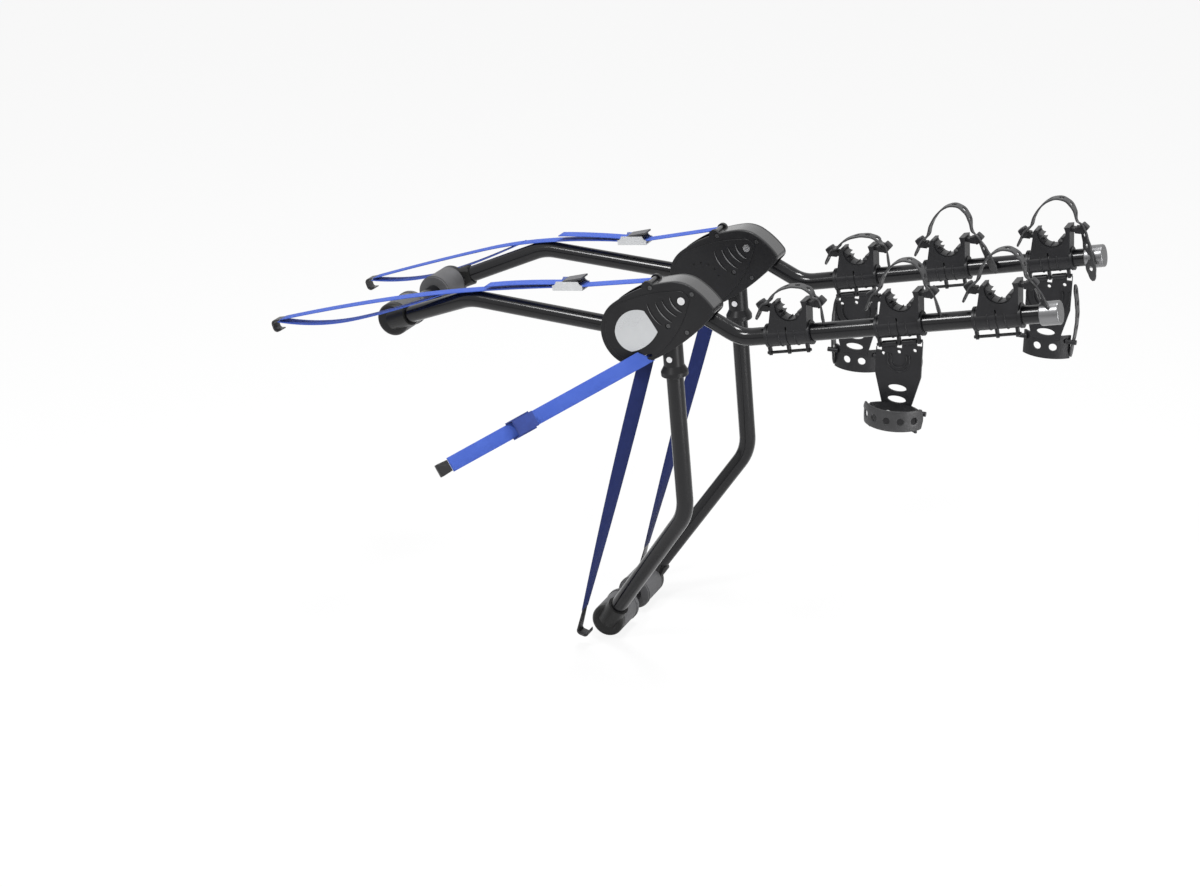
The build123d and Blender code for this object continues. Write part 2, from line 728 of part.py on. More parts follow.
# Anti-sway cage: two knuckles on the rod, a plate with two ovals and a curved grip that
# opens outboard, towards the bike's seat tube. side is -1 on the near arm and 1 on the far.
def cage(x, side):
    y = side * half_span
    z = axis_z(x) - rod_drop
    rod_at = place(x, y, z)
    with BuildPart() as body:
        for i in (-1, 1):
            with BuildSketch(Plane(origin=rod_at + arm_run * (i * lug_step / 2), z_dir=arm_run)):
                Circle(knuckle_r)
            extrude(amount=knuckle_length / 2, both=True)
        half = cage_w / 2
        waist = cage_waist / 2
        with BuildSketch(side_plane(y)):
            with BuildLine():
                Polyline((x - half, z - knuckle_r / 2 - half * arm_slope),
                         (x + half, z - knuckle_r / 2 + half * arm_slope),
                         (x + half, z - cage_length / 2))
                Line((x - half, z - cage_length / 2), (x - half, z - knuckle_r / 2 - half * arm_slope))
                Line((x + half, z - cage_length / 2), (x + waist, z - cage_length))
                Line((x + waist, z - cage_length), (x - waist, z - cage_length))
                Line((x - waist, z - cage_length), (x - half, z - cage_length / 2))
            make_face()
            # Room for the three lugs of the cradle
            for i in (-1, 0, 1):
                with Locations((x + i * lug_step, z + i * lug_step * arm_slope)):
                    Rectangle(lug_room, 2 * lug_w, mode=Mode.SUBTRACT)
            for i in (0, 1):
                with Locations((x, z - cage_length + oval_h + i * oval_step)):
                    Ellipse(oval_w / 2, oval_h / 2, mode=Mode.SUBTRACT)
            for i in (-1, 0, 1):
                with Locations((x + i * clip_hole_step, z - clip_hole_drop + i * clip_hole_step * arm_slope)):
                    Circle(clip_hole_r, mode=Mode.SUBTRACT)
        extrude(amount=cage_t / 2, both=True)
        # Stiffening ribs on the inboard face
        rib_from = z - clip_hole_drop - 2 * clip_hole_r
        with BuildSketch(side_plane(y - side * (cage_t / 2 + rib_rise / 2))):
            with BuildLine():
                ThreePointArc((x - half + rib_t, rib_from), (x, z - cage_length / 2 - oval_h),
                              (x + half - rib_t, rib_from))
            trace(line_width=rib_t)
            with BuildLine():
                ThreePointArc((x - waist, rib_from), (x, z - cage_length / 2),
                              (x + waist, rib_from))
            trace(line_width=rib_t)
        extrude(amount=rib_rise / 2, both=True)
        # Grip, curved about an upright axis
        grip_z = pivot_z + z - cage_length - grip_height + oval_h / 2
        with BuildSketch(Plane.XY.offset(grip_z)):
            with BuildLine():
                ThreePointArc((pivot_x + x - grip_half, y + side * grip_depth),
                              (pivot_x + x, y),
                              (pivot_x + x + grip_half, y + side * grip_depth))
            trace(line_width=grip_t)
        extrude(amount=grip_height)
        with BuildSketch(side_plane(y + grip_half)):
            for i in (-1, 1):
                with Locations((x + i * grip_hole_step, grip_z - pivot_z + grip_height / 2)):
                    Circle(grip_hole_r)
        extrude(amount=2 * grip_half, mode=Mode.SUBTRACT)
        # Pegs for the belt
        for i in (-1, 1):
            peg_at = Vector(pivot_x + x + i * (grip_half - peg_length / 2),
                            y + side * peg_out, grip_z + grip_height - peg_drop)
            with BuildSketch(Plane(origin=peg_at, z_dir=(i, 0, 0))):
                Circle(peg_r)
            extrude(amount=peg_length + peg_length / 2)
        with BuildSketch(Plane(origin=rod_at, z_dir=arm_run)):
            Circle(rod_r + fit_gap)
        extrude(amount=cage_w, both=True, mode=Mode.SUBTRACT)
    return body


# Rubber belt round the seat tube: closed across the grip (0), or hanging from the right (1)
# or left (-1) peg up to the plate's corner
def belt(x, side, hang):
    y = side * half_span
    z = axis_z(x) - rod_drop
    grip_top = pivot_z + z - cage_length + oval_h / 2
    with BuildPart() as strap:
        if hang == 0:
            with BuildSketch(Plane.XY.offset(grip_top - peg_drop - belt_w)):
                with BuildLine():
                    ThreePointArc((pivot_x + x - belt_half, y + side * belt_start),
                                  (pivot_x + x, y + side * belt_bulge),
                                  (pivot_x + x + belt_half, y + side * belt_start))
                trace(line_width=belt_t)
            extrude(amount=belt_w + belt_w / 2)
        else:
            edge = x + hang * (cage_w / 2 + side_gap + belt_t / 2)
            with BuildSketch(side_plane(y + side * (peg_out + peg_r + side_gap + hang_w / 2))):
                with BuildLine():
                    ThreePointArc((edge, z - hang_top),
                                  (edge + hang * hang_bow, z - cage_length / 2),
                                  (edge + hang * belt_t, grip_top - pivot_z - grip_height))
                trace(line_width=belt_t)
            extrude(amount=hang_w / 2, both=True)
    return strap


cage_spots = {("near", 1): 0, ("far", 0): -1, ("far", 2): 1}
cradle_sets = {"near": (near_places, near_hoops), "far": (far_places, far_hoops)}
spot_names = ["inner", "middle", "outer"]
for side_name, (places, hoops) in cradle_sets.items():
    side = sides[side_name]
    for i, x in enumerate(places):
        name = spot_names[i] + "_" + side_name
        keep(cradle(x, side * half_span), "cradle_" + name)
        keep(hoop(x, side * half_span, hoops[i]), "cradle_strap_" + name)
        if (side_name, i) in cage_spots:
            keep(cage(x, side), "cage_" + name)
            keep(belt(x, side, cage_spots[(side_name, i)]), "cage_belt_" + name)


# Webbing that lies in one tube plane, along straight runs joined by arcs
def flat_web(points, y, name):
    runs = [(points[i + 1] - points[i]) for i in range(len(points) - 1)]
    radii = []
    for i in range(len(runs) - 1):
        turn = runs[i].get_angle(runs[i + 1])
        shorter = min(runs[i].length, runs[i + 1].length)
        radii.append(web_bend_share * shorter / tan(radians(turn / 2)))
    print(name, "radii", [round(r, 1) for r in radii])
    with BuildPart() as web:
        with BuildSketch(side_plane(y)):
            with BuildLine():
                if radii:
                    FilletPolyline(*points, radius=radii)
                else:
                    Line(*points)
            trace(line_width=web_t)
        extrude(amount=web_w / 2, both=True)
    return web


# Taut webbing straight through space. across is the direction of its width.
def straight_web(start, end, across):
    run = (end - start).normalized()
    with BuildPart() as web:
        with BuildSketch(Plane(origin=start, x_dir=across, z_dir=run)):
            Rectangle(web_w, web_t)
        extrude(amount=(end - start).length)
    return web


# Bent hook past the end of a strap. run is the strap's direction and across its width.
def hook(end, run, across, shank):
    reach = shank + hook_t / 2
    with BuildPart() as bent:
        with BuildSketch(Plane(origin=end, x_dir=run, z_dir=across)):
            with BuildLine():
                FilletPolyline((side_gap, 0), (reach, 0), (reach, hook_drop),
                               (reach - hook_lip, hook_drop), radius=hook_bend_r)
            trace(line_width=hook_t)
        extrude(amount=hook_w / 2, both=True)
    return bent


buckle_places = {"near": (near_buckle_x, near_buckle_z), "far": (far_buckle_x, far_buckle_z)}
hook_parts = []
for side_name, webs in upper_webs.items():
    y = sides[side_name] * half_span
    for web_name, points in webs.items():
        name = "upper_" + web_name + "_" + side_name
        keep(flat_web([Vector(*point) for point in points], y, name), name)
    before, last = [place(p[0], y, p[1]) for p in webs["strap"][-2:]]
    hook_parts.append(hook(last, (last - before).normalized(), (0, -1, 0), upper_shank))
with BuildPart() as upper_hooks:
    for part in hook_parts:
        add(part.part)
keep(upper_hooks, "upper_hooks")

# Side straps
side_start = place(side_slot_x, -(outer_y + cover_total + side_slot_gap), side_slot_z)
side_end = place(side_hook_x, -side_hook_y, side_hook_z)
side_run = (side_end - side_start).normalized()
side_across = Vector(*side_across_shares)
side_across = (side_across - side_run * side_across.dot(side_run)).normalized()
side_web = straight_web(side_start, side_end, side_across)
keep_pair(side_web, "side_strap")
keep_both(hook(side_end, side_run, -side_across, side_shank), "side_hooks")

# Lower straps
lower_start = place(lower_web_x, -half_span, lower_web_z)
lower_end = place(lower_hook_x, -lower_hook_y, lower_hook_z)
lower_run = (lower_end - lower_start).normalized()
lower_across = Vector(0, 1, 0)
lower_across = (lower_across - lower_run * lower_across.dot(lower_run)).normalized()
lower_web = straight_web(lower_start, lower_end, lower_across)
keep_pair(lower_web, "lower_strap")
keep_both(hook(lower_end, lower_run, -lower_across, lower_shank), "lower_hooks")


# Buckle frame round a strap. Its plane's x runs along the strap towards the hub, y away
# from the floor plate and z across the strap. The bar under the strap lies bar_down below it.
def buckle(plane, length, bar_down):
    with BuildPart() as frame:
        with BuildSketch(plane):
            with Locations((0, -floor_drop)):
                Rectangle(length, buckle_sheet)
        extrude(amount=buckle_w / 2, both=True)
        for i in (-1, 1):
            with BuildSketch(plane.offset(i * (buckle_w - buckle_sheet) / 2)):
                with Locations((0, -floor_drop - buckle_sheet / 2)):
                    Rectangle(length, cheek_h, align=(Align.CENTER, Align.MIN))
                with Locations((length / 2, cheek_h - floor_drop), (-length / 2, cheek_h - floor_drop)):
                    Circle(cheek_h / 2, mode=Mode.SUBTRACT)
            extrude(amount=buckle_sheet / 2, both=True)
        with BuildSketch(plane):
            with Locations((-lever_pin_back, lever_pin_up)):
                Circle(lever_pin_r)
            with Locations((length / 2 - bar_inset, -bar_down)):
                Circle(bar_r)
        extrude(amount=buckle_w / 2, both=True)
    return frame


# Thumb lever on the buckle's cross pin
def lever(plane):
    lever_w = buckle_w - 2 * buckle_sheet - 2 * side_gap
    with BuildPart() as tab:
        with BuildSketch(plane):
            with Locations((-lever_pin_back, lever_pin_up)):
                Circle(lever_eye_r)
            with BuildLine():
                Polyline((-lever_pin_back, lever_pin_up + lever_eye_r - lever_t),
                         (-lever_pin_back, lever_pin_up + lever_eye_r),
                         (lever_length - lever_pin_back, lever_pin_up + lever_eye_r + lever_tip),
                         (lever_length - lever_pin_back, lever_pin_up + lever_eye_r + lever_tip - lever_t),
                         close=True)
            make_face()
            with Locations((-lever_pin_back, lever_pin_up)):
                Circle(lever_pin_r + fit_gap, mode=Mode.SUBTRACT)
        extrude(amount=lever_w / 2, both=True)
    return tab


with BuildPart() as upper_buckles:
    for side_name, (x, z) in buckle_places.items():
        y = sides[side_name] * half_span
        plane = Plane(origin=place(x, y, z), x_dir=(1, 0, buckle_slope), z_dir=(0, -1, 0))
        add(buckle(plane, buckle_length, bar_drop).part)
keep(upper_buckles, "upper_buckles")
for side_name, (x, z) in buckle_places.items():
    y = sides[side_name] * half_span
    plane = Plane(origin=place(x, y, z), x_dir=(1, 0, buckle_slope), z_dir=(0, -1, 0))
    keep(lever(plane), "upper_buckle_lever_" + side_name)

side_buckle_middle = side_start + side_run * side_buckle_at
side_buckle_plane = Plane(origin=side_buckle_middle, x_dir=-side_run, z_dir=-side_across)
side_bar_down = web_t / 2 + bar_r + fit_gap
keep_both(buckle(side_buckle_plane, side_buckle_length, side_bar_down), "side_buckles")
keep_pair(lever(side_buckle_plane), "side_buckle_lever")
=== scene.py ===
import json
from math import cos, pi, radians, sin
import bmesh
import bpy
import numpy as np
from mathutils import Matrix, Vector


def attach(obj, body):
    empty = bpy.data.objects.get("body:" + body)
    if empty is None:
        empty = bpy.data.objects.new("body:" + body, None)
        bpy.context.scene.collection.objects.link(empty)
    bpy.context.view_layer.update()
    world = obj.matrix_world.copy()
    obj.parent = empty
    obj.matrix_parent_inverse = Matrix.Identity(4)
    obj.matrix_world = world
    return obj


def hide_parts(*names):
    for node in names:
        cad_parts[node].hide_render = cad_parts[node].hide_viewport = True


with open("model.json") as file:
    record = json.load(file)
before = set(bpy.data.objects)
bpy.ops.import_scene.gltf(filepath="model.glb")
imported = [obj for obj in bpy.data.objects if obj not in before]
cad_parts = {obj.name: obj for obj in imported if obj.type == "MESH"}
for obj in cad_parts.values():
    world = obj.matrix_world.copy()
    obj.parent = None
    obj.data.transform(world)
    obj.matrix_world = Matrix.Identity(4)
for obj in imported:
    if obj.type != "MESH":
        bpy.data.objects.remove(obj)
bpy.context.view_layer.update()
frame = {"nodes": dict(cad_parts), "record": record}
cadNodes = frame["nodes"]
print("frame loaded:", len(cadNodes), "nodes")

# Camera, floor and light

cameraView = {"place": (1.4630, -3.4845, 1.8676), "turn": 23.555, "tilt": 22.549, "lens": 70.70,
              "sensor": 36, "farthest": 200}

cameraData = bpy.data.cameras.new("studioCamera")
cameraData.lens = cameraView["lens"]
cameraData.sensor_width = cameraView["sensor"]
cameraData.clip_end = cameraView["farthest"]
studioCamera = bpy.data.objects.new("studioCamera", cameraData)
bpy.context.scene.collection.objects.link(studioCamera)
studioCamera.location = cameraView["place"]
studioCamera.rotation_euler = (radians(90 - cameraView["tilt"]), 0, radians(cameraView["turn"]))
bpy.context.scene.camera = studioCamera
bpy.context.scene.view_settings.view_transform = "Standard"


def addNode(tree, kind, **settings):
    node = tree.nodes.new("ShaderNode" + kind)
    for key, value in settings.items():
        setattr(node, key, value)
    return node


def newMaterial(name):
    material = bpy.data.materials.new(name)
    material.use_nodes = True
    material.node_tree.nodes.clear()
    return material, material.node_tree


studioLight = {"worldStrength": 0.50, "worldGray": 0.95, "floorGray": 0.86, "floorGlow": 0.88,
               "floorHeight": -0.0335, "floorSize": 60.0}

world = bpy.data.worlds.new("studioWorld")
world.use_nodes = True
bpy.context.scene.world = world
tree = world.node_tree
tree.nodes.clear()
path = addNode(tree, "LightPath")
seen = addNode(tree, "Math", operation="MAXIMUM")
tree.links.new(path.outputs["Is Camera Ray"], seen.inputs[0])
through = addNode(tree, "Math", operation="MAXIMUM")
tree.links.new(path.outputs["Is Glossy Ray"], through.inputs[0])
tree.links.new(path.outputs["Is Transmission Ray"], through.inputs[1])
tree.links.new(through.outputs[0], seen.inputs[1])
dim = addNode(tree, "Background")
dim.inputs["Color"].default_value = (studioLight["worldGray"],) * 3 + (1,)
dim.inputs["Strength"].default_value = studioLight["worldStrength"]
white = addNode(tree, "Background")
white.inputs["Color"].default_value = (1, 1, 1, 1)
white.inputs["Strength"].default_value = 1
mix = addNode(tree, "MixShader")
tree.links.new(seen.outputs[0], mix.inputs[0])
tree.links.new(dim.outputs[0], mix.inputs[1])
tree.links.new(white.outputs[0], mix.inputs[2])
out = addNode(tree, "OutputWorld")
tree.links.new(mix.outputs[0], out.inputs["Surface"])

floorMaterial, tree = newMaterial("studioFloor")
path = addNode(tree, "LightPath")
amount = addNode(tree, "Math", operation="MULTIPLY")
amount.inputs[1].default_value = studioLight["floorGlow"]
tree.links.new(path.outputs["Is Camera Ray"], amount.inputs[0])
matt = addNode(tree, "BsdfDiffuse")
matt.inputs["Color"].default_value = (studioLight["floorGray"],) * 3 + (1,)
glow = addNode(tree, "Emission")
glow.inputs["Strength"].default_value = 1
mix = addNode(tree, "MixShader")
tree.links.new(amount.outputs[0], mix.inputs[0])
tree.links.new(matt.outputs[0], mix.inputs[1])
tree.links.new(glow.outputs[0], mix.inputs[2])
out = addNode(tree, "OutputMaterial")
tree.links.new(mix.outputs[0], out.inputs["Surface"])

half = studioLight["floorSize"] / 2
floorMesh = bpy.data.meshes.new("studioFloor")
level = studioLight["floorHeight"]
floorMesh.from_pydata([(-half, -half, level), (half, -half, level), (half, half, level),
                       (-half, half, level)], [], [(0, 1, 2, 3)])
floorMesh.materials.append(floorMaterial)
studioFloor = bpy.data.objects.new("studioFloor", floorMesh)
bpy.context.scene.collection.objects.link(studioFloor)

softBoxes = {  # place, aimed at, size, watts
    "keyBox": ((-0.9, -2.0, 3.0), (0.1, 0, 0.5), 0.7, 62),
    "topBox": ((0.3, 0.2, 3.2), (0.1, 0, 0.5), 0.7, 62),
    "sideBox": ((3.2, -1.2, 1.5), (0.2, 0, 0.5), 0.7, 16),
    "lowBox": ((2.4, -0.9, 0.42), (0.2, 0, 0.35), 0.7, 22),
}
for name, (place, aim, size, watts) in softBoxes.items():
    lamp = bpy.data.lights.new(name, "AREA")
    lamp.size = size
    lamp.energy = watts
    box = bpy.data.objects.new(name, lamp)
    bpy.context.scene.collection.objects.link(box)
    box.location = place
    aimed = np.array(aim) - np.array(place)
    box.rotation_euler = Vector(aimed.tolist()).to_track_quat("-Z", "Y").to_euler()
print("camera, floor and light ready")

# Shader effects that several finishes share


def newGroup(name, inputs, outputs):
    group = bpy.data.node_groups.new(name, "ShaderNodeTree")
    for label, kind, value in inputs:
        socket = group.interface.new_socket(name=label, in_out="INPUT", socket_type=kind)
        if value is not None:
            socket.default_value = value
    for label, kind in outputs:
        group.interface.new_socket(name=label, in_out="OUTPUT", socket_type=kind)
    return group, group.nodes.new("NodeGroupInput"), group.nodes.new("NodeGroupOutput")


def mathStep(tree, operation, first, second=None):
    step = addNode(tree, "Math", operation=operation)
    for i, value in enumerate((first, second)):
        if value is None:
            continue
        if isinstance(value, (int, float)):
            step.inputs[i].default_value = value
        else:
            tree.links.new(value, step.inputs[i])
    return step.outputs[0]


# Moulded or sprayed grain: fine noise as a height, with broad soft patches as a mask
grainForm = {"fineDetail": 3, "broadDetail": 4, "broadRough": 0.6, "middle": 0.5}
grain, gIn, gOut = newGroup("surfaceGrain", [
    ("Place", "NodeSocketVector", None), ("Grain Scale", "NodeSocketFloat", 900.0),
    ("Patch Scale", "NodeSocketFloat", 25.0), ("Patch Contrast", "NodeSocketFloat", 1.0)],
    [("Height", "NodeSocketFloat"), ("Patches", "NodeSocketFloat")])
fine = addNode(grain, "TexNoise")
fine.inputs["Detail"].default_value = grainForm["fineDetail"]
grain.links.new(gIn.outputs["Place"], fine.inputs["Vector"])
grain.links.new(gIn.outputs["Grain Scale"], fine.inputs["Scale"])
broad = addNode(grain, "TexNoise")
broad.inputs["Detail"].default_value = grainForm["broadDetail"]
broad.inputs["Roughness"].default_value = grainForm["broadRough"]
grain.links.new(gIn.outputs["Place"], broad.inputs["Vector"])
grain.links.new(gIn.outputs["Patch Scale"], broad.inputs["Scale"])
centred = mathStep(grain, "SUBTRACT", broad.outputs["Fac"], grainForm["middle"])
spread = mathStep(grain, "MULTIPLY", centred, gIn.outputs["Patch Contrast"])
patches = mathStep(grain, "ADD", spread, grainForm["middle"])
held = addNode(grain, "Clamp")
grain.links.new(patches, held.inputs["Value"])
grain.links.new(fine.outputs["Fac"], gOut.inputs["Height"])
grain.links.new(held.outputs[0], gOut.inputs["Patches"])

# Scratches and rub marks: long thin streaks of noise, kept only where they are strongest
scuffForm = {"stretch": (1, 1, 9), "turn": (0.5, 0.7, 0.3), "detail": 6, "rough": 0.7,
             "low": 0.60, "high": 0.78}
scuff, sIn, sOut = newGroup("scuffMarks", [
    ("Place", "NodeSocketVector", None), ("Streak Scale", "NodeSocketFloat", 60.0),
    ("Amount", "NodeSocketFloat", 0.2)], [("Marks", "NodeSocketFloat")])
stretch = addNode(scuff, "Mapping")
stretch.inputs["Scale"].default_value = scuffForm["stretch"]
stretch.inputs["Rotation"].default_value = scuffForm["turn"]
scuff.links.new(sIn.outputs["Place"], stretch.inputs["Vector"])
streaks = addNode(scuff, "TexNoise")
streaks.inputs["Detail"].default_value = scuffForm["detail"]
streaks.inputs["Roughness"].default_value = scuffForm["rough"]
scuff.links.new(stretch.outputs[0], streaks.inputs["Vector"])
scuff.links.new(sIn.outputs["Streak Scale"], streaks.inputs["Scale"])
peaks = addNode(scuff, "MapRange")
peaks.inputs["From Min"].default_value = scuffForm["low"]
peaks.inputs["From Max"].default_value = scuffForm["high"]
scuff.links.new(streaks.outputs["Fac"], peaks.inputs["Value"])
marks = mathStep(scuff, "MULTIPLY", peaks.outputs[0], sIn.outputs["Amount"])
scuff.links.new(marks, sOut.inputs["Marks"])

# Woven webbing on a strap's own map, in metres: cross ribs, lengthwise threads and two edge cords. The
# colour share follows the rib relief, darker in the grooves and lighter on the crests: painted shade.
weaveForm = {"ribs": 0.3, "crossed": 0.2, "middle": 0.5, "edgeFrom": 0.36, "edgeTo": 0.40,
             "edgeHeight": 0.25, "shade": 0.55}
weave, wIn, wOut = newGroup("webbingWeave", [
    ("Map", "NodeSocketVector", None), ("Rib Pitch", "NodeSocketFloat", 0.0016),
    ("Thread Pitch", "NodeSocketFloat", 0.0011), ("Width", "NodeSocketFloat", 0.025)],
    [("Height", "NodeSocketFloat"), ("Shade", "NodeSocketFloat")])
parts = addNode(weave, "SeparateXYZ")
weave.links.new(wIn.outputs["Map"], parts.inputs[0])


def wave(distance, pitch):
    share = mathStep(weave, "DIVIDE", distance, wIn.outputs[pitch])
    return mathStep(weave, "SINE", mathStep(weave, "MULTIPLY", share, 2 * pi))


ribs, threads = wave(parts.outputs[0], "Rib Pitch"), wave(parts.outputs[1], "Thread Pitch")
crossed = mathStep(weave, "MULTIPLY", ribs, threads)
height = mathStep(weave, "ADD", mathStep(weave, "MULTIPLY", ribs, weaveForm["ribs"]),
                  mathStep(weave, "MULTIPLY", crossed, weaveForm["crossed"]))
share = mathStep(weave, "DIVIDE", parts.outputs[1], wIn.outputs["Width"])
across = mathStep(weave, "ABSOLUTE", mathStep(weave, "SUBTRACT", share, weaveForm["middle"]))
edge = addNode(weave, "MapRange")
edge.inputs["From Min"].default_value = weaveForm["edgeFrom"]
edge.inputs["From Max"].default_value = weaveForm["edgeTo"]
weave.links.new(across, edge.inputs["Value"])
raised = mathStep(weave, "ADD", height, weaveForm["middle"])
cords = mathStep(weave, "MULTIPLY", edge.outputs[0], weaveForm["edgeHeight"])
weave.links.new(mathStep(weave, "ADD", raised, cords), wOut.inputs["Height"])
# Painted shade: the colour share rises and falls with the rib relief.
shade = mathStep(weave, "MULTIPLY", height, weaveForm["shade"])
weave.links.new(mathStep(weave, "ADD", shade, weaveForm["shade"]), wOut.inputs["Shade"])


def useGroup(tree, group, **values):
    node = addNode(tree, "Group", node_tree=group)
    for key, value in values.items():
        socket = node.inputs[key.replace("_", " ")]
        if isinstance(value, (int, float)):
            socket.default_value = value
        else:
            tree.links.new(value, socket)
    return node


def colourMix(tree, factor, first, second):
    node = addNode(tree, "Mix", data_type="RGBA")
    if isinstance(factor, float):
        node.inputs[0].default_value = factor
    else:
        tree.links.new(factor, node.inputs[0])
    for socket, value in ((node.inputs[6], first), (node.inputs[7], second)):
        if isinstance(value, tuple):
            socket.default_value = value + (1,)
        else:
            tree.links.new(value, socket)
    return node.outputs[2]


commonLook = {"contrast": 1.2, "streak": 60.0, "metal": 0.0, "coat": 0.0, "coatRough": 0.05,
              "specular": 0.4, "bump": 0.3, "depth": 0.0001, "marksRough": 0.3}


# One finish: a colour with soft patches and rub marks, its gloss broken up, and grain in relief
def makeFinish(name, look):
    look = {**commonLook, **look}
    material, tree = newMaterial(name)
    coords = addNode(tree, "TexCoord")
    place = coords.outputs["Object"]
    grainNode = useGroup(tree, grain, Place=place, Grain_Scale=look["grain"], Patch_Scale=look["patch"],
                         Patch_Contrast=look["contrast"])
    scuffNode = useGroup(tree, scuff, Place=place, Streak_Scale=look["streak"],
                         Amount=look["scuff"])
    base = colourMix(tree, grainNode.outputs["Patches"], look["dark"], look["light"])
    base = colourMix(tree, scuffNode.outputs["Marks"], base, look["worn"])
    shader = addNode(tree, "BsdfPrincipled")
    shader.inputs["Metallic"].default_value = look["metal"]
    tree.links.new(base, shader.inputs["Base Color"])
    low, high = look["rough"]
    rough = addNode(tree, "MapRange")
    rough.inputs["To Min"].default_value = low
    rough.inputs["To Max"].default_value = high
    tree.links.new(grainNode.outputs["Patches"], rough.inputs["Value"])
    tree.links.new(mathStep(tree, "ADD", rough.outputs[0], mathStep(
        tree, "MULTIPLY", scuffNode.outputs["Marks"], look["marksRough"])), shader.inputs["Roughness"])
    shader.inputs["Coat Weight"].default_value = look["coat"]
    shader.inputs["Coat Roughness"].default_value = look["coatRough"]
    shader.inputs["Specular IOR Level"].default_value = look["specular"]
    bump = addNode(tree, "Bump")
    bump.inputs["Strength"].default_value = look["bump"]
    bump.inputs["Distance"].default_value = look["depth"]
    tree.links.new(grainNode.outputs["Height"], bump.inputs["Height"])
    tree.links.new(bump.outputs[0], shader.inputs["Normal"])
    out = addNode(tree, "OutputMaterial")
    tree.links.new(shader.outputs[0], out.inputs["Surface"])
    return material


looks = {
    "hub_plastic": dict(dark=(0.006, 0.006, 0.007), light=(0.015, 0.015, 0.016), worn=(0.07, 0.07, 0.075),
                        grain=1500, patch=14, scuff=0.25, rough=(0.26, 0.40), specular=0.22, bump=0.2),
    # edge_gloss is the hub's black plastic painted mid grey, a painted highlight for the groove lips. Its
    # higher specular gives real gloss as well.
    "edge_gloss": dict(dark=(0.05, 0.05, 0.052), light=(0.18, 0.18, 0.185), worn=(0.4, 0.4, 0.4),
                       grain=1500, patch=18, scuff=0.2, rough=(0.16, 0.26), specular=0.6, bump=0.05),
    "band_lacquer": dict(dark=(0.008, 0.008, 0.009), light=(0.020, 0.020, 0.021), worn=(0.12, 0.12, 0.12),
                         grain=1800, patch=12, scuff=0.12, rough=(0.20, 0.30), specular=0.6,
                         coat=0.4, bump=0.02),
    "badge_silver": dict(dark=(0.46, 0.47, 0.48), light=(0.58, 0.59, 0.60), worn=(0.38, 0.38, 0.39),
                         grain=2200, patch=16, scuff=0.2, rough=(0.22, 0.34), metal=0.85, bump=0.06),
    "screw_steel": dict(dark=(0.60, 0.60, 0.61), light=(0.80, 0.80, 0.81), worn=(0.3, 0.3, 0.3),
                        grain=2500, patch=120, scuff=0.3, rough=(0.18, 0.34), metal=1.0, bump=0.1),
    "screw_dark": dict(dark=(0.05, 0.05, 0.052), light=(0.12, 0.12, 0.122), worn=(0.3, 0.3, 0.3),
                       grain=2500, patch=120, scuff=0.3, rough=(0.20, 0.36), metal=0.8, bump=0.1),
    "tube_lacquer": dict(dark=(0.004, 0.004, 0.005), light=(0.008, 0.008, 0.009), worn=(0.04, 0.04, 0.04),
                         grain=500, patch=10, scuff=0.08, rough=(0.13, 0.19), specular=0.30, bump=0.002),
    "boot_rubber": dict(dark=(0.005, 0.005, 0.005), light=(0.014, 0.014, 0.014), worn=(0.05, 0.05, 0.05),
                        grain=1200, patch=30, scuff=0.5, rough=(0.34, 0.50), specular=0.25, bump=0.3),
    "roller_rubber": dict(dark=(0.045, 0.045, 0.047), light=(0.11, 0.11, 0.115), worn=(0.22, 0.22, 0.22),
                          grain=1100, patch=22, scuff=0.5, rough=(0.45, 0.65), specular=0.3, bump=0.4),
    "cap_gray": dict(dark=(0.14, 0.14, 0.143), light=(0.22, 0.22, 0.225), worn=(0.42, 0.42, 0.42),
                     grain=1600, patch=18, scuff=0.3, rough=(0.24, 0.36), metal=0.85, bump=0.1),
    "cradle_plastic": dict(dark=(0.006, 0.006, 0.007), light=(0.016, 0.016, 0.018), worn=(0.07, 0.07, 0.07),
                           grain=1300, patch=26, scuff=0.3, rough=(0.30, 0.46), specular=0.25, bump=0.2),
    "strap_rubber": dict(dark=(0.014, 0.014, 0.015), light=(0.040, 0.040, 0.042), worn=(0.14, 0.14, 0.14),
                         grain=1400, patch=45, scuff=0.6, rough=(0.34, 0.56), bump=0.3),
    "hook_black": dict(dark=(0.008, 0.008, 0.009), light=(0.020, 0.020, 0.021), worn=(0.2, 0.2, 0.2),
                       grain=1000, patch=60, scuff=0.5, rough=(0.22, 0.40), bump=0.15),
    "buckle_silver": dict(dark=(0.50, 0.51, 0.52), light=(0.70, 0.71, 0.72), worn=(0.3, 0.3, 0.31),
                          grain=2000, patch=50, scuff=0.5, rough=(0.24, 0.42), metal=0.9, bump=0.15),
    "buckle_blue": dict(dark=(0.010, 0.024, 0.14), light=(0.025, 0.055, 0.27), worn=(0.2, 0.25, 0.5),
                        grain=1500, patch=60, scuff=0.4, rough=(0.28, 0.42), coat=0.2, bump=0.2),
    "lever_dark": dict(dark=(0.03, 0.03, 0.034), light=(0.06, 0.06, 0.066), worn=(0.2, 0.2, 0.2),
                       grain=1500, patch=60, scuff=0.4, rough=(0.3, 0.45), bump=0.2),
}
finishes = {name: makeFinish(name, look) for name, look in looks.items()}

# webbing_shade is the same blue webbing painted several times darker: painted shade for the lower straps,
# which hang in shadow under the hub.
webbingLooks = {
    "webbing_blue": {"deep": (0.012, 0.030, 0.22), "bright": (0.055, 0.12, 0.52),
                     "faded": (0.12, 0.20, 0.60)},
    "webbing_shade": {"deep": (0.003, 0.006, 0.04), "bright": (0.010, 0.020, 0.11),
                      "faded": (0.020, 0.035, 0.15)},
}
weaveLook = {"bump": 0.9, "depth": 0.0004, "rough": 0.62, "sheen": 0.03, "fade": 0.35, "specular": 0.15,
             "grain": 2200, "patch": 35}


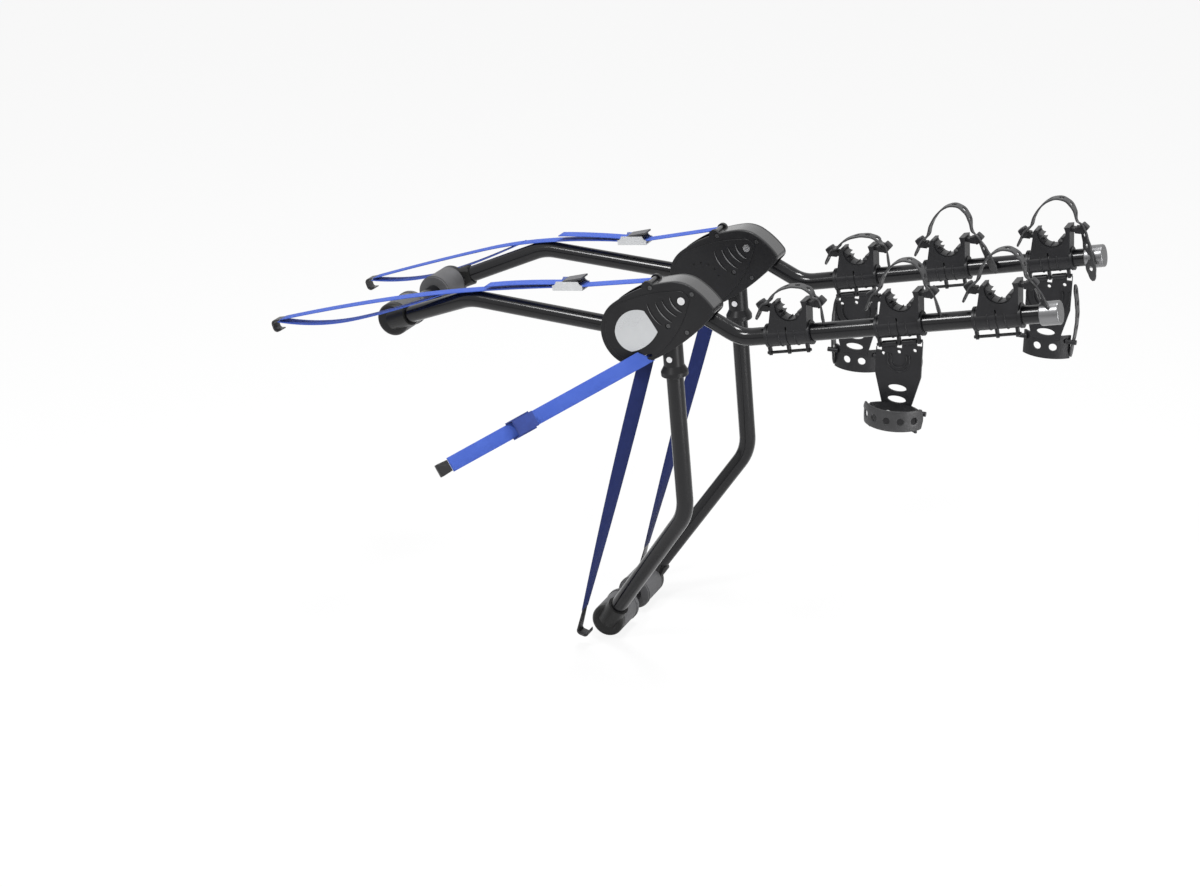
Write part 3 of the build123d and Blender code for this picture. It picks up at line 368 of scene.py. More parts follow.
def makeWebbing(name, look):
    material, tree = newMaterial(name)
    strapMap = addNode(tree, "UVMap")
    coords = addNode(tree, "TexCoord")
    weaveNode = useGroup(tree, weave, Map=strapMap.outputs[0])
    grainNode = useGroup(tree, grain, Place=coords.outputs["Object"], Grain_Scale=weaveLook["grain"],
                        Patch_Scale=weaveLook["patch"])
    # Deep blue in the weave's grooves and bright blue on its crests, which is painted shade.
    base = colourMix(tree, weaveNode.outputs["Shade"], look["deep"], look["bright"])
    fade = mathStep(tree, "MULTIPLY", grainNode.outputs["Patches"], weaveLook["fade"])
    base = colourMix(tree, fade, base, look["faded"])
    shader = addNode(tree, "BsdfPrincipled")
    tree.links.new(base, shader.inputs["Base Color"])
    shader.inputs["Roughness"].default_value = weaveLook["rough"]
    shader.inputs["Sheen Weight"].default_value = weaveLook["sheen"]
    shader.inputs["Specular IOR Level"].default_value = weaveLook["specular"]
    bump = addNode(tree, "Bump")
    bump.inputs["Strength"].default_value = weaveLook["bump"]
    bump.inputs["Distance"].default_value = weaveLook["depth"]
    tree.links.new(weaveNode.outputs["Height"], bump.inputs["Height"])
    tree.links.new(bump.outputs[0], shader.inputs["Normal"])
    out = addNode(tree, "OutputMaterial")
    tree.links.new(shader.outputs[0], out.inputs["Surface"])
    return material


for name, look in webbingLooks.items():
    finishes[name] = makeWebbing(name, look)
print("finishes ready:", len(finishes))

# The finish of the CAD nodes

slotOfNode = {part["node"]: part["material_slot"] for part in frame["record"]["subparts"]}
smoothing = {"weld": 0.00001, "crease": 26, "padCrease": 35, "hookCrease": 40}
ownFinish = {"hub_screws": "screw_dark"}  # a node that differs from its slot's finish


def finishNode(name):
    piece = cadNodes[name]
    piece.data.materials.clear()
    piece.data.materials.append(finishes[ownFinish.get(name, slotOfNode[name])])
    piece.data.polygons.foreach_set("use_smooth", np.ones(len(piece.data.polygons), bool))
    weld = piece.modifiers.new("weld", "WELD")
    weld.merge_threshold = smoothing["weld"]
    split = piece.modifiers.new("creases", "EDGE_SPLIT")
    split.split_angle = radians(smoothing["crease"])
    piece.modifiers.new("evenNormals", "WEIGHTED_NORMAL")


for name in cadNodes:
    finishNode(name)
print("CAD nodes finished:", len(cadNodes))

# Surfaces from grids of points


# A mesh object from points, faces and a map per face corner, riding on a body
def addPiece(name, points, faces, slot, body, cornerMap=None, finish=None):
    mesh = bpy.data.meshes.new(name)
    mesh.from_pydata(np.asarray(points).tolist(), [], [tuple(f) for f in faces])
    if cornerMap is not None:
        layer = mesh.uv_layers.new(name="strapMap")
        layer.data.foreach_set("uv", np.asarray(cornerMap, np.float32).ravel())
    work = bmesh.new()
    work.from_mesh(mesh)
    bmesh.ops.recalc_face_normals(work, faces=work.faces)
    work.to_mesh(mesh)
    work.free()
    mesh.polygons.foreach_set("use_smooth", np.ones(len(mesh.polygons), bool))
    mesh.materials.append(finishes[finish or slot])
    piece = bpy.data.objects.new(name, mesh)
    bpy.context.scene.collection.objects.link(piece)
    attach(piece, body)
    return piece


def creased(piece, angle):
    split = piece.modifiers.new("creases", "EDGE_SPLIT")
    split.split_angle = radians(angle)
    return piece


# Directions along a path: its tangent, its side with the tangent taken out, and their cross product
def pathFrames(path, side):
    tangent = np.gradient(path, axis=0)
    tangent /= np.linalg.norm(tangent, axis=1)[:, None]
    side = np.broadcast_to(np.asarray(side, float), path.shape).copy()
    side -= (side * tangent).sum(1)[:, None] * tangent
    side /= np.linalg.norm(side, axis=1)[:, None]
    return tangent, side, np.cross(tangent, side)


# A closed profile carried along a path: point (i, j) is path i plus profile j on the path's side
# and upright directions. The two ends are closed with one face each.
def carryProfile(name, path, side, profile, slot, body, grow=None, finish=None):
    path, profile = np.asarray(path, float), np.asarray(profile, float)
    tangent, side, up = pathFrames(path, side)
    n, m = len(path), len(profile)
    grow = np.ones((n, 2)) if grow is None else grow
    points = (path[:, None] + (profile[None, :, 0] * grow[:, None, 0])[..., None] * side[:, None]
              + (profile[None, :, 1] * grow[:, None, 1])[..., None] * up[:, None]).reshape(-1, 3)
    i, j = np.meshgrid(np.arange(n - 1), np.arange(m), indexing="ij")
    k = (j + 1) % m
    quads = np.stack([i * m + j, i * m + k, (i + 1) * m + k, (i + 1) * m + j], -1).reshape(-1, 4)
    run = np.concatenate([[0], np.linalg.norm(np.diff(path, axis=0), axis=1).cumsum()])
    width = profile[:, 0] - profile[:, 0].min()
    mapped = np.stack([np.stack([run[i], width[j]], -1), np.stack([run[i], width[k]], -1),
                       np.stack([run[i + 1], width[k]], -1), np.stack([run[i + 1], width[j]], -1)],
                      2).reshape(-1, 2)
    faces = quads.tolist() + [list(range(m)), list(range((n - 1) * m, n * m))]
    ends = np.concatenate([np.stack([np.zeros(m), width], -1), np.stack([np.full(m, run[-1]), width], -1)])
    return addPiece(name, points, faces, slot, body, np.concatenate([mapped, ends]), finish)


# A rectangle with quarter circles on its corners, counter-clockwise
def roundedRectangle(width, height, radius, steps=4):
    corners = []
    for cx, cy, start in ((1, 1, 0), (-1, 1, 90), (-1, -1, 180), (1, -1, 270)):
        turn = np.radians(start + np.linspace(0, 90, steps))
        corners.append(np.stack([cx * (width / 2 - radius) + radius * np.cos(turn),
                                 cy * (height / 2 - radius) + radius * np.sin(turn)], -1))
    return np.concatenate(corners)


# Points read from the smooth spline through a route's control points
def splinePoints(route, steps=12):
    curve = bpy.data.curves.new("route", "CURVE")
    curve.dimensions = "3D"
    spline = curve.splines.new("NURBS")
    spline.points.add(len(route) - 1)
    for point, corner in zip(spline.points, route):
        point.co = (*corner, 1)
    spline.order_u = 3
    spline.use_endpoint_u = True
    spline.resolution_u = steps
    holder = bpy.data.objects.new("route", curve)
    mesh = bpy.data.meshes.new_from_object(holder)
    points = np.array([v.co for v in mesh.vertices], float)
    bpy.data.objects.remove(holder)
    bpy.data.curves.remove(curve)
    bpy.data.meshes.remove(mesh)
    return points


# Webbing straps

pivot = np.array([0.1614, 0, 0.6376])
halfSpan = 0.150
sides = {"near": -1, "far": 1}
webStrap = {"width": 0.025, "thick": 0.0015, "edge": 0.0006}
upperRoutes = {  # X and Z from the arm pivot
    "near": {"lead": [(-0.0656, 0.0184), (-0.1287, 0.00575), (-0.1918, -0.0069)],
             "strap": [(-0.2098, -0.0093), (-0.389, -0.038), (-0.640, -0.105), (-0.755, -0.1435)],
             "loop": [(-0.7589, -0.1476), (-0.681, -0.148), (-0.532, -0.098), (-0.432, -0.0518)],
             "tail": [(-0.2156, -0.0051), (-0.300, -0.0155), (-0.356, -0.0286)]},
    "far": {"lead": [(-0.0656, 0.0184), (-0.1348, -0.00025), (-0.204, -0.0189)],
            "strap": [(-0.222, -0.0208), (-0.389, -0.034), (-0.620, -0.113), (-0.735, -0.157)],
            "loop": [(-0.7387, -0.1613), (-0.664, -0.157), (-0.532, -0.107), (-0.432, -0.0514)],
            "tail": [(-0.228, -0.0166), (-0.300, -0.020), (-0.358, -0.0276)]},
}
webProfile = roundedRectangle(webStrap["width"], webStrap["thick"], webStrap["edge"], 3)
webs = {}


# A strap's start cut along its slot: each point slides along the strap by its place across it, and
# the end sinks inwards, both fading out along the strap
def slantEnd(web, path, side, cut):
    points = np.array([v.co for v in web.data.vertices], float)
    run = (path[-1] - path[0]) / np.linalg.norm(path[-1] - path[0])
    width = np.asarray(side) - run * (run @ side)
    width /= np.linalg.norm(width)
    across, along = (points - path[0]) @ width, (points - path[0]) @ run
    slide = cut["slant"] * np.clip(1 - along / cut["fade"], 0, 1) * across
    sink = cut["sink"] * np.clip(1 - along / cut["sinkFade"], 0, 1)
    points += slide[:, None] * run + sink[:, None] * np.array([0, -np.sign(path[0][1]), 0])
    web.data.vertices.foreach_set("co", points.ravel())
    web.data.update()


def addWeb(name, route, side, steps=12, turn=0, finish=None, cut=None):
    path = splinePoints(route, steps)
    if turn:
        run = (path[-1] - path[0]) / np.linalg.norm(path[-1] - path[0])
        side = np.asarray(side) - run * (run @ side)
        share = np.linspace(1, 0, len(path))
        angle = np.radians(turn) * share
        side = side * np.cos(angle)[:, None] + np.cross(run, side) * np.sin(angle)[:, None]
    web = carryProfile("webbing_" + name, path, side, webProfile, "webbing_blue", "rack", finish=finish)
    if cut:
        slantEnd(web, path, side, cut)
    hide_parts(name)
    webs[name] = (web, path)


for sideName, routes in upperRoutes.items():
    y = sides[sideName] * halfSpan
    for webName, route in routes.items():
        addWeb("upper_" + webName + "_" + sideName,
               [(pivot[0] + x, y, pivot[2] + z) for x, z in route], (0, 1, 0))

sideStrap = {"slot": (-0.060, -0.17725, -0.103), "hook": (-0.3153, -0.380, -0.2574),
             "across": (-0.570, 0.095, 0.816), "steps": 60,
             "cut": {"slant": 0.78, "fade": 0.070, "sink": 0.0040, "sinkFade": 0.016}}
lowerStrap = {"pin": (-0.0671, -0.150, -0.1077), "hook": (-0.185, -0.140, -0.5974), "across": (0, 1, 0),
              "turn": 84, "steps": 40}


def onSide(sideName, point):
    return np.array([point[0], -sides[sideName] * point[1], point[2]])


for sideName in sides:
    start = onSide(sideName, sideStrap["slot"]) + pivot
    end = onSide(sideName, sideStrap["hook"]) + pivot
    addWeb("side_strap_" + sideName, [start, (start + end) / 2, end], onSide(sideName, sideStrap["across"]),
           sideStrap["steps"], cut=sideStrap["cut"])
    start = onSide(sideName, lowerStrap["pin"]) + pivot
    end = onSide(sideName, lowerStrap["hook"]) + pivot
    # The lower straps take the darker webbing, which is painted shade.
    addWeb("lower_strap_" + sideName, [start, (start + end) / 2, end], lowerStrap["across"],
           lowerStrap["steps"], lowerStrap["turn"], "webbing_shade")
print("webbing laid:", len(webs))

# Perforated rubber straps


# A smooth path through every point given, each stretch a cubic set by its neighbours
def smoothPath(corners, steps=14):
    corners = np.asarray(corners, float)
    ends = np.concatenate([[2 * corners[0] - corners[1]], corners, [2 * corners[-1] - corners[-2]]])
    t = (np.arange(steps) / steps)[:, None]
    stretches = []
    for a, b, c, d in zip(ends[:-3], ends[1:-2], ends[2:-1], ends[3:]):
        stretches.append(0.5 * (2 * b + (c - a) * t + (2 * a - 5 * b + 4 * c - d) * t ** 2
                                + (3 * b - a - 3 * c + d) * t ** 3))
    return np.concatenate(stretches + [ends[-2:-1]])


stripMesh = {"along": 6, "across": 4, "rings": 3, "cell": 0.003, "leastTip": 0.03, "joined": 0.00002,
             "rim": 0.22, "rimSteps": 2, "rimAngle": 50}


# Flat strip with round holes, worked out as cells of distance along and across the strip and then
# laid on the path: each cell runs from its rectangle inwards to the circle of its hole. The strip
# is wider at its holes and rounds off at its free ends. Solidify and Bevel give it its body.
def addPerforated(name, path, side, strap, slot, body):
    path = np.asarray(path, float)
    tangent, side, up = pathFrames(path, side)
    run = np.concatenate([[0], np.linalg.norm(np.diff(path, axis=0), axis=1).cumsum()])
    length, halfWidth, pitch = run[-1], strap["width"] / 2, strap["pitch"]
    holes = np.arange(strap["first"], length - strap["last"], pitch)
    cuts = np.concatenate([[0, holes[0] - pitch / 2], holes[:-1] + pitch / 2,
                           [holes[-1] + pitch / 2, length]])
    along, across, rings = stripMesh["along"], stripMesh["across"], stripMesh["rings"]
    points, faces = [], []
    for number, (low, high) in enumerate(zip(cuts[:-1], cuts[1:])):
        first = sum(len(part) for part in points)
        if 0 < number < len(cuts) - 2:
            a, b = np.linspace(low, high, along + 1), np.linspace(-halfWidth, halfWidth, across + 1)
            outer = np.concatenate([
                np.stack([a[:-1], np.full(along, -halfWidth)], -1),
                np.stack([np.full(across, high), b[:-1]], -1),
                np.stack([a[::-1][:-1], np.full(along, halfWidth)], -1),
                np.stack([np.full(across, low), b[::-1][:-1]], -1)])
            middle = holes[number - 1]
            turn = np.arctan2(outer[:, 1] / halfWidth, (outer[:, 0] - middle) / (pitch / 2))
            inner = np.stack([middle + strap["hole"] * np.cos(turn), strap["hole"] * np.sin(turn)], -1)
            share = np.linspace(0, 1, rings + 1)[:, None, None]
            points.append((outer * (1 - share) + inner * share).reshape(-1, 2))
            i, j = np.meshgrid(np.arange(rings), np.arange(len(outer)), indexing="ij")
            k = (j + 1) % len(outer)
            wide = len(outer)
        else:
            steps = max(2, int((high - low) / stripMesh["cell"]))
            a, b = np.linspace(low, high, steps + 1), np.linspace(-halfWidth, halfWidth, across + 1)
            points.append(np.stack(np.meshgrid(a, b, indexing="ij"), -1).reshape(-1, 2))
            i, j = np.meshgrid(np.arange(steps), np.arange(across), indexing="ij")
            k, wide = j + 1, across + 1
        faces.append(np.stack([i * wide + j, i * wide + k, (i + 1) * wide + k, (i + 1) * wide + j],
                              -1).reshape(-1, 4) + first)
    flat, faces = np.concatenate(points), np.concatenate(faces)
    s = flat[:, 0]
    shape = 1 + strap["wave"] * np.cos(2 * pi * (s - strap["first"]) / pitch)
    for distance, tip in ((s, strap["startTip"]), (length - s, strap["endTip"])):
        near = np.clip(1 - distance / tip, 0, 1)
        shape = shape * np.sqrt(np.clip(1 - near ** 2, stripMesh["leastTip"], 1))
    at = [np.interp(s, run, path[:, i]) for i in range(3)]
    out = [np.interp(s, run, side[:, i]) for i in range(3)]
    laid = np.stack(at, -1) + np.stack(out, -1) * (flat[:, 1] * shape)[:, None]
    piece = addPiece(name, laid, faces.tolist(), slot, body)
    work = bmesh.new()
    work.from_mesh(piece.data)
    bmesh.ops.remove_doubles(work, verts=work.verts, dist=stripMesh["joined"])
    bmesh.ops.recalc_face_normals(work, faces=work.faces)
    work.to_mesh(piece.data)
    work.free()
    wall = piece.modifiers.new("wall", "SOLIDIFY")
    wall.thickness = strap["thick"]
    wall.offset = 0
    rim = piece.modifiers.new("rim", "BEVEL")
    rim.width = strap["thick"] * stripMesh["rim"]
    rim.segments = stripMesh["rimSteps"]
    rim.limit_method = "ANGLE"
    rim.angle_limit = radians(stripMesh["rimAngle"])
    return piece


armLine = {"bend": (0.0952, -0.0564), "slope": 0.1119 / 0.4968}
places = {"near": [0.1759, 0.355, 0.508], "far": [0.191, 0.3454, 0.516]}
spots = ["inner", "middle", "outer"]
holdDown = {"width": 0.0205, "thick": 0.0028, "hole": 0.0042, "pitch": 0.0185, "first": 0.009, "last": 0.016,
            "wave": 0.07, "startTip": 0.012, "endTip": 0.030,
            "knobOut": 0.0405, "knobUp": 0.053, "beside": 0.0468, "half": 0.0372,
            "arch": (10, 28, 48, 69, 90, 111, 132, 152, 170),
            "tab": [(-0.010, -0.028), (-0.0045, -0.012), (0.0008, 0.001)],
            "tailStart": (-0.0008, 0.1, 0.001), "tail": [(0.35, 0.45, 0.30), (0.72, 0.85, 0.68), (1, 1, 1)],
            "turnFrom": 0.62}
# Height over the arm's axis, the tail's reach outwards, down and towards -Y, and its turn
hoopShapes = {
    "near": [(0.080, 0.012, 0.034, 0.012, 35), (0.106, 0.018, 0.040, 0.006, 35),
             (0.109, 0.030, 0.036, 0.014, 50)],
    "far": [(0.074, 0.010, 0.036, 0.008, 30), (0.111, 0.041, 0.050, 0.024, 62),
            (0.105, 0.029, 0.080, 0.024, 66)],
}


def armHeight(x):
    return armLine["bend"][1] + (x - armLine["bend"][0]) * armLine["slope"]


def atArm(x, y, z):
    return np.array([pivot[0] + x, y, pivot[2] + armHeight(x) + z])


# A hoop's corners over the saddle: a tab under the first knob, half an ellipse, then the tail
def hoopCorners(y, height, tailOut, tailDown, tailNear):
    rise = holdDown["knobOut"] * armLine["slope"]
    beside, knobUp, half = holdDown["beside"], holdDown["knobUp"], holdDown["half"]
    climb = height - knobUp
    tab = [(-beside + out, y, knobUp - rise + up) for out, up in holdDown["tab"]]
    arch = [(-half * cos(a), y, knobUp - rise * cos(a) + climb * sin(a))
            for a in map(radians, holdDown["arch"])]
    out, near, up = holdDown["tailStart"]
    tail = [(beside + out, y - near * tailNear, knobUp + rise + up)]
    tail += [(beside + out * tailOut, y - near * tailNear, knobUp + rise - down * tailDown)
             for out, near, down in holdDown["tail"]]
    return tab + arch + tail


for sideName, sign in sides.items():
    for spot, x, (height, tailOut, tailDown, tailNear, turn) in zip(spots, places[sideName],
                                                                    hoopShapes[sideName]):
        corners = hoopCorners(sign * halfSpan, height, tailOut, tailDown, tailNear)
        path = smoothPath([atArm(x, py, pz) + (px, 0, 0) for px, py, pz in corners])
        share = np.clip((np.arange(len(path)) / len(path) - holdDown["turnFrom"])
                        / (1 - holdDown["turnFrom"]), 0, 1)
        angle = np.radians(turn) * share * share * (3 - 2 * share)
        tangent = np.gradient(path, axis=0)
        tangent /= np.linalg.norm(tangent, axis=1)[:, None]
        flatSide = np.broadcast_to((0.0, 1.0, 0.0), path.shape)
        turned = flatSide * np.cos(angle)[:, None] - np.cross(tangent, flatSide) * np.sin(angle)[:, None]
        name = spot + "_" + sideName
        hoop = addPerforated("holdDown_" + name, path, turned, holdDown, "strap_rubber",
                             "cradle_body_" + name)
        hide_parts("cradle_strap_" + name)
print("hold-down straps made")

# Cradle details

throatPad = {"radius": 0.0229, "rise": 0.049, "wall": 0.0020, "tooth": 0.0062, "depth": 0.026,
             "from": 184, "to": 356, "teeth": 7, "calm": 30, "count": 97, "climb": 0.7,
             "slices": [(-0.5, 0.03), (-0.44, 0), (0.44, 0), (0.5, 0.03)]}
strapKnob = {"width": 0.0135, "height": 0.0160, "depth": 0.017, "out": 0.0008, "sink": 0.002, "lean": 38}
barrelBead = {"radius": 0.0182, "bead": 0.0011, "at": [-0.0345, -0.0135, 0.0135, 0.0345]}


# Soft pad in the throat: an arc whose inner edge rises in hooked teeth on both flanks, carried across
# the saddle. Its inner radius is the throat's less a wall less a tooth, which climbs slowly and drops
# fast. The bottom is plain.
def addThroatPad(name, x, y):
    count, climb = throatPad["count"], throatPad["climb"]
    turn = np.radians(np.linspace(throatPad["from"], throatPad["to"], count))
    share = np.linspace(0, throatPad["teeth"], count) % 1
    share = np.where(turn > 1.5 * pi, 1 - share, share)
    lift = np.where(share < climb, (share / climb) ** 2, (1 - share) / (1 - climb))
    flank = np.abs(np.degrees(turn) - 270) > throatPad["calm"]
    inner = throatPad["radius"] - throatPad["wall"] - throatPad["tooth"] * lift * flank
    outline = np.concatenate([
        np.stack([np.cos(turn), np.sin(turn)], -1) * throatPad["radius"],
        (np.stack([np.cos(turn), np.sin(turn)], -1) * inner[:, None])[::-1]])
    size = len(outline)
    rows = []
    for offset, growth in throatPad["slices"]:
        row = outline.copy()
        row[count:] *= 1 + growth
        rows.append(np.stack([row[:, 0], np.full(size, offset * throatPad["depth"]), row[:, 1]], -1))
    points = np.concatenate(rows) + atArm(x, y, throatPad["rise"])
    i, j = np.meshgrid(np.arange(len(rows) - 1), np.arange(size), indexing="ij")
    k = (j + 1) % size
    faces = np.stack([i * size + j, i * size + k, (i + 1) * size + k, (i + 1) * size + j],
                     -1).reshape(-1, 4)
    j = np.arange(count - 1)
    cap = np.stack([j, j + 1, size - 2 - j, size - 1 - j], -1)
    last = (len(rows) - 1) * size
    faces = np.concatenate([faces, cap, cap + last])
    pad = addPiece("throatPad_" + name, points, faces.tolist(), "cradle_plastic", "cradle_body_" + name)
    creased(pad, smoothing["padCrease"])


# A pillow of rounded-box form: each direction's sine and cosine raised to a small power
def pillow(width, depth, height, power=0.28, rings=14, ribs=28):
    v, u = np.meshgrid(np.linspace(-pi / 2, pi / 2, rings + 1)[1:-1],
                       np.linspace(0, 2 * pi, ribs, endpoint=False), indexing="ij")

    def eased(value):
        return np.sign(value) * np.abs(value) ** power

    points = np.stack([eased(np.cos(v)) * eased(np.cos(u)) * width / 2,
                       eased(np.cos(v)) * eased(np.sin(u)) * depth / 2,
                       eased(np.sin(v)) * height / 2], -1).reshape(-1, 3)
    points = np.concatenate([points, [(0, 0, -height / 2), (0, 0, height / 2)]])
    rows = rings - 1
    i, j = np.meshgrid(np.arange(rows - 1), np.arange(ribs), indexing="ij")
    k = (j + 1) % ribs
    faces = np.stack([i * ribs + j, i * ribs + k, (i + 1) * ribs + k, (i + 1) * ribs + j],
                     -1).reshape(-1, 4).tolist()
    j = np.arange(ribs)
    k = (j + 1) % ribs
    low, high = rows * ribs, rows * ribs + 1
    faces += np.stack([k, j, np.full(ribs, low)], -1).tolist()
    faces += np.stack([j + (rows - 1) * ribs, k + (rows - 1) * ribs, np.full(ribs, high)], -1).tolist()
    return points, faces


def turnedY(points, degrees):
    c, s = cos(radians(degrees)), sin(radians(degrees))
    return np.stack([points[:, 0] * c + points[:, 2] * s, points[:, 1],
                     points[:, 2] * c - points[:, 0] * s], -1)


# The knob heads that stand through the hold-down strap's first and last holes
def addKnobs(name, x, y):
    rise = holdDown["knobOut"] * armLine["slope"]
    points, faces = pillow(strapKnob["width"], strapKnob["depth"], strapKnob["height"])
    allPoints, allFaces = [], []
    for side in (-1, 1):
        middle = atArm(x, y, holdDown["knobUp"] + side * rise - strapKnob["sink"]) + (
            side * (holdDown["beside"] + strapKnob["out"]), 0, 0)
        placed = turnedY(points, side * strapKnob["lean"]) + middle
        allFaces += [tuple(i + len(allPoints) * len(points) for i in face) for face in faces]
        allPoints.append(placed)
    addPiece("strapKnobs_" + name, np.concatenate(allPoints), allFaces, "cradle_plastic",
             "cradle_body_" + name)


# A ring of circular section round an axis
def ringOf(middle, axis, radius, section, around=48, steps=8):
    axis = np.asarray(axis, float) / np.linalg.norm(axis)
    side = np.cross(axis, (0, 1, 0))
    side /= np.linalg.norm(side)
    up = np.cross(axis, side)
    u, v = np.meshgrid(np.linspace(0, 2 * pi, around, endpoint=False),
                       np.linspace(0, 2 * pi, steps, endpoint=False), indexing="ij")
    spoke = np.cos(u)[..., None] * side + np.sin(u)[..., None] * up
    points = np.asarray(middle) + spoke * (radius + section * np.cos(v))[..., None] + axis * (
        section * np.sin(v))[..., None]
    i, j = np.meshgrid(np.arange(around), np.arange(steps), indexing="ij")
    nextI, nextJ = (i + 1) % around, (j + 1) % steps
    faces = np.stack([i * steps + j, nextI * steps + j, nextI * steps + nextJ, i * steps + nextJ],
                     -1).reshape(-1, 4)
    return points.reshape(-1, 3), faces


def addRings(name, rings, slot, body):
    points, faces, total = [], [], 0
    for ringPoints, ringFaces in rings:
        faces.append(ringFaces + total)
        points.append(ringPoints)
        total += len(ringPoints)
    addPiece(name, np.concatenate(points), np.concatenate(faces).tolist(), slot, body)


armDirection = np.array([1, 0, armLine["slope"]]) / np.hypot(1, armLine["slope"])
for sideName, sign in sides.items():
    for spot, x in zip(spots, places[sideName]):
        name = spot + "_" + sideName
        y = sign * halfSpan
        addThroatPad(name, x, y)
        addKnobs(name, x, y)
        middle = atArm(x, y, 0)
        rings = [ringOf(middle + armDirection * along, armDirection, barrelBead["radius"],
                        barrelBead["bead"]) for along in barrelBead["at"]]
        addRings("barrelBeads_" + name, rings, "cradle_plastic", "cradle_body_" + name)
print("cradle details made")

# Cage details

cageForm = {"drop": 0.029, "length": 0.106, "wall": 0.004, "gripTop": 0.006, "beadGap": 0.0003}
cageBelt = {"width": 0.034, "pitch": 0.022, "hole": 0.0058, "first": 0.014, "last": 0.012, "thick": 0.0030,
            "wave": 0.0, "startTip": 0.006, "endTip": 0.006,
            "radius": 0.0506, "out": 0.046, "halfTurn": 1.19, "steps": 61, "below": 0.014}
hangBelt = {"width": 0.021, "pitch": 0.021, "hole": 0.0045, "first": 0.012, "last": 0.014, "thick": 0.0028,
            "wave": 0.06, "startTip": 0.012, "endTip": 0.022, "edge": 0.0385,
            "fromRod": [(0, 0.0145, -0.012), (0.004, 0.017, -0.035), (0.007, 0.020, -0.065),
                        (0.006, 0.020, -0.095)],
            "fromGrip": [(0.003, 0.019, -0.020), (0.002, 0.018, -0.038)]}
crescent = {"width": [0.0175, 0.0125], "drop": [0.047, 0.040], "start": 0.019, "section": 0.0013,
            "turns": 25, "round": 10}
cages = {("near", 1): 0, ("far", 0): -1, ("far", 2): 1}  # the side its belt hangs on, or 0 for closed


# U-shaped beads on the cage's smooth outboard face
def addCageBeads(name, x, face, rodZ, body):
    around = np.linspace(0, 2 * pi, crescent["round"], endpoint=False)
    profile = crescent["section"] * np.stack([np.cos(around), np.sin(around)], -1)
    for number, (width, drop) in enumerate(zip(crescent["width"], crescent["drop"])):
        corners = [(-width, crescent["start"])]
        corners += [(-width * cos(t), drop - width + width * sin(t))
                    for t in np.linspace(0, pi, crescent["turns"])]
        corners += [(width, crescent["start"])]
        path = np.array([atArm(x, face, rodZ - down) + (across, 0, 0) for across, down in corners])
        carryProfile("cageBead_" + name + "_" + str(number), path, (0, 1, 0), profile, "cradle_plastic",
                     body)


# A closed belt bows outboard from the grip as part of a circle
def closedBeltPath(x, y, sign, gripTop):
    radius, middle = cageBelt["radius"], cageBelt["out"] - cageBelt["radius"]
    angles = np.linspace(-1, 1, cageBelt["steps"]) * cageBelt["halfTurn"]
    return np.array([atArm(x, y + sign * (middle + radius * cos(a)), gripTop - cageBelt["below"])
                     + (radius * sin(a), 0, 0) for a in angles])


def hangingBeltPath(x, y, sign, hang, rodZ, gripTop):
    edge = hangBelt["edge"]
    corners = [(edge + across, out, rodZ + up) for across, out, up in hangBelt["fromRod"]]
    corners += [(edge + across, out, gripTop + up) for across, out, up in hangBelt["fromGrip"]]
    return smoothPath([atArm(x, y + sign * out, z) + (hang * across, 0, 0) for across, out, z in corners])


for (sideName, index), hang in cages.items():
    sign, x = sides[sideName], places[sideName][index]
    y, name = sign * halfSpan, spots[index] + "_" + sideName
    body = "cage_body_" + name
    rodZ = -cageForm["drop"]
    addCageBeads(name, x, y + sign * (cageForm["wall"] / 2 + cageForm["beadGap"]), rodZ, body)
    gripTop = rodZ - cageForm["length"] + cageForm["gripTop"]
    if hang == 0:
        belt = addPerforated("cageBelt_" + name, closedBeltPath(x, y, sign, gripTop), (0, 0, 1), cageBelt,
                             "strap_rubber", body)
    else:
        belt = addPerforated("cageBelt_" + name, hangingBeltPath(x, y, sign, hang, rodZ, gripTop),
                             (0, 1, 0), hangBelt, "strap_rubber", body)
    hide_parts("cage_belt_" + name)
print("cage details made")

# Hooks

hookSheet = {"thick": 0.0032, "width": 0.022, "drop": 0.019, "lip": 0.011, "bend": 0.006, "edge": 0.0013,
             "gap": 0.0003, "endGrow": (0.9, 0.45)}
shanks = {"upper": 0.017, "side": 0.020, "lower": 0.046}


# Straight runs joined by arcs, in a plane: each corner is replaced by an arc of the given radius
def filletedPath(corners, radius, steps=9):
    corners = [np.asarray(c, float) for c in corners]
    path = [corners[0][None]]
    for before, corner, after in zip(corners[:-2], corners[1:-1], corners[2:]):
        inRun, outRun = before - corner, after - corner
        inRun, outRun = inRun / np.linalg.norm(inRun), outRun / np.linalg.norm(outRun)
        halfAngle = np.arccos(np.clip(inRun @ outRun, -1, 1)) / 2
        middle = corner + (inRun + outRun) / np.linalg.norm(inRun + outRun) * radius / sin(halfAngle)
        start = corner + inRun * radius / np.tan(halfAngle) - middle
        stop = corner + outRun * radius / np.tan(halfAngle) - middle
        sweep = pi - 2 * halfAngle
        share = np.linspace(0, 1, steps)[:, None]
        blend = start * np.sin((1 - share) * sweep) + stop * np.sin(share * sweep)
        path.append(middle + blend / sin(sweep))
    path.append(corners[-1][None])
    return np.concatenate(path)


